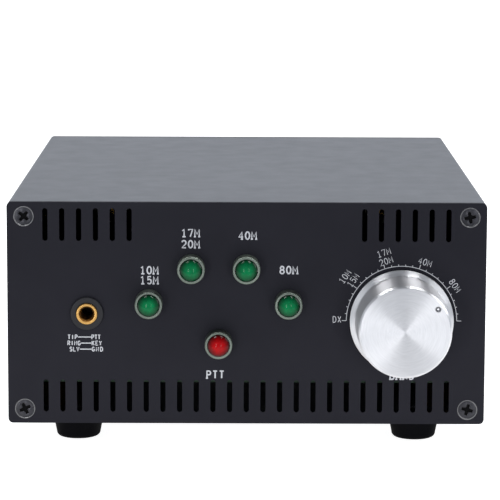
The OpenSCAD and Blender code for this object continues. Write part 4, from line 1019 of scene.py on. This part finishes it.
class AMPLIFIER_OT_stage(Operator):
    """Set the camera, the floor and the soft studio light"""
    bl_idname = "amplifier.stage"
    bl_label = "Stage"

    def softbox(self, name, place, target, width, height, power):
        """A rectangular light; sizes are in metres and the power in watts."""
        lamp = bpy.data.lights.new(name, "AREA")
        lamp.shape = "RECTANGLE"
        lamp.size = width
        lamp.size_y = height
        lamp.energy = power
        light = placed(name, lamp)
        light.location = place
        light.rotation_euler = (Vector(target) - Vector(place)).to_track_quat(
            "-Z", "Y").to_euler()

    def camera(self):
        """A long lens at the angle of the photograph."""
        pitch, yaw, roll = (math.radians(angle) for angle in (8.66334, -0.17837, 0.23413))
        aim = (Matrix.Rotation(roll, 4, "Y") @ Matrix.Rotation(pitch, 4, "X")
               @ Matrix.Rotation(-yaw, 4, "Z"))
        place = Matrix.Translation((-0.0014955, PANEL_FACE - 0.7878341, 0.1805882))
        lens = bpy.data.cameras.new("camera")
        lens.lens = 189.922
        lens.sensor_width = 36
        lens.clip_start = 0.01
        camera = placed("camera", lens)
        camera.matrix_world = place @ aim.transposed() @ FRONT_TURN
        return camera

    def floor(self, settings):
        """A lit sheet of pale paper, nearer the front than the back."""
        sheet = bmesh.new()
        bmesh.ops.create_grid(sheet, x_segments=1, y_segments=1, size=0.7)
        bmesh.ops.translate(sheet, verts=sheet.verts, vec=(0, PANEL_FACE + 0.59, 0))
        mesh = as_mesh(sheet, "floor")
        mesh.materials.append(plain("floor_paper", settings.floor, 0.7, 0, 300, 20, 0.02,
                                    Emission_Strength=settings.glow,
                                    Emission_Color=(1, 1, 1, 1)))
        return placed("floor", mesh)

    def room(self, settings):
        """Light from a room that is brighter behind and dim overhead; the camera sees white."""
        world = bpy.data.worlds.new("studio")
        world.use_nodes = True
        tree = world.node_tree
        axes, dimmed, seen, path, choice = (tree.nodes.new("ShaderNode" + kind) for kind in (
            "SeparateXYZ", "Math", "Background", "LightPath", "MixShader"))
        place = tree.nodes.new("ShaderNodeTexCoord")
        tree.links.new(place.outputs["Generated"], axes.inputs["Vector"])
        dimmed.operation = "MULTIPLY"
        for socket, value in zip(dimmed.inputs, (
                ramp(tree, axes.outputs["Y"], -0.1, 0.7, settings.dusk, settings.sky),
                ramp(tree, axes.outputs["Z"], 0.35, 0.7, 1.0, settings.zenith))):
            tree.links.new(value, socket)
        backdrop = tree.nodes["Background"]
        backdrop.inputs["Color"].default_value = (0.88, 0.93, 1.0, 1)
        tree.links.new(dimmed.outputs["Value"], backdrop.inputs["Strength"])
        seen.inputs["Color"].default_value = (1, 1, 1, 1)
        seen.inputs["Strength"].default_value = 1.3
        for socket, value in zip(choice.inputs, (path.outputs["Is Camera Ray"],
                                                 backdrop.outputs["Background"],
                                                 seen.outputs["Background"])):
            tree.links.new(value, socket)
        tree.links.new(choice.outputs["Shader"], tree.nodes["World Output"].inputs["Surface"])
        return world

    def execute(self, context):
        scene = context.scene
        settings = scene.amplifier_stage
        scene.camera = self.camera()
        self.floor(settings)
        scene.world = self.room(settings)

        far, swing, eye = 1.4, math.radians(20), 0.04
        for side, name, power in ((-1, "left", 2.7), (1, "right", 2.0)):
            self.softbox("strip_" + name, (side * far * math.sin(swing),
                                           PANEL_FACE - far * math.cos(swing), eye),
                         (0, PANEL_FACE, 0.041), 0.07, 0.56, power)
        for name, x, z, power in (("left", -0.36, 0.85, 2.6), ("right", 0.32, 0.88, 2.8)):
            for kind, y, target_y, watts in (("overhead_", 0.1, 0.1, power),
                                             ("brow_", -0.3, -0.1, 1.4)):
                self.softbox(kind + name, (x, y, z), (KNOB_AXIS.x, target_y, eye), 0.05, 0.3,
                             watts)
        self.softbox("window_right", (1.0, 0.0, 0.6), (KNOB_AXIS.x, PANEL_FACE, eye), 0.5, 0.7,
                     5)
        scene.view_settings.view_transform = "Standard"
        return {"FINISHED"}


class AMPLIFIER_PT_panel(Panel):
    """Lists the steps that dress the amplifier"""
    bl_idname = "AMPLIFIER_PT_panel"
    bl_label = "Amplifier"
    bl_space_type = "VIEW_3D"
    bl_region_type = "UI"
    bl_category = "Amplifier"

    def draw(self, context):
        for step in STEPS:
            self.layout.operator(step.bl_idname)
        for name in SETTINGS:
            group = getattr(context.scene, name)
            for key in group.__annotations__:
                self.layout.prop(group, key)


STEPS = (
    AMPLIFIER_OT_stage, AMPLIFIER_OT_case, AMPLIFIER_OT_panels, AMPLIFIER_OT_screws,
    AMPLIFIER_OT_feet, AMPLIFIER_OT_lamps, AMPLIFIER_OT_knob, AMPLIFIER_OT_jack,
    AMPLIFIER_OT_legend, AMPLIFIER_OT_sockets, AMPLIFIER_OT_power, AMPLIFIER_OT_fan,
    AMPLIFIER_OT_inside,
)
SETTINGS = {
    "amplifier_case": CaseSettings, "amplifier_lamps": LampSettings,
    "amplifier_knob": KnobSettings, "amplifier_legend": LegendSettings,
    "amplifier_rear": RearSettings, "amplifier_inside": InsideSettings,
    "amplifier_stage": StageSettings,
}


def register():
    for group in (*SETTINGS.values(), *STEPS, AMPLIFIER_PT_panel):
        bpy.utils.register_class(group)
    for name, group in SETTINGS.items():
        setattr(bpy.types.Scene, name, PointerProperty(type=group))


def unregister():
    for name in SETTINGS:
        delattr(bpy.types.Scene, name)
    for group in reversed((*SETTINGS.values(), *STEPS, AMPLIFIER_PT_panel)):
        bpy.utils.unregister_class(group)


def main():
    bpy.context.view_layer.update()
    register()
    for step in STEPS:
        area, name = step.bl_idname.split(".")
        getattr(getattr(bpy.ops, area), name)()


if __name__ == "__main__":
    main()
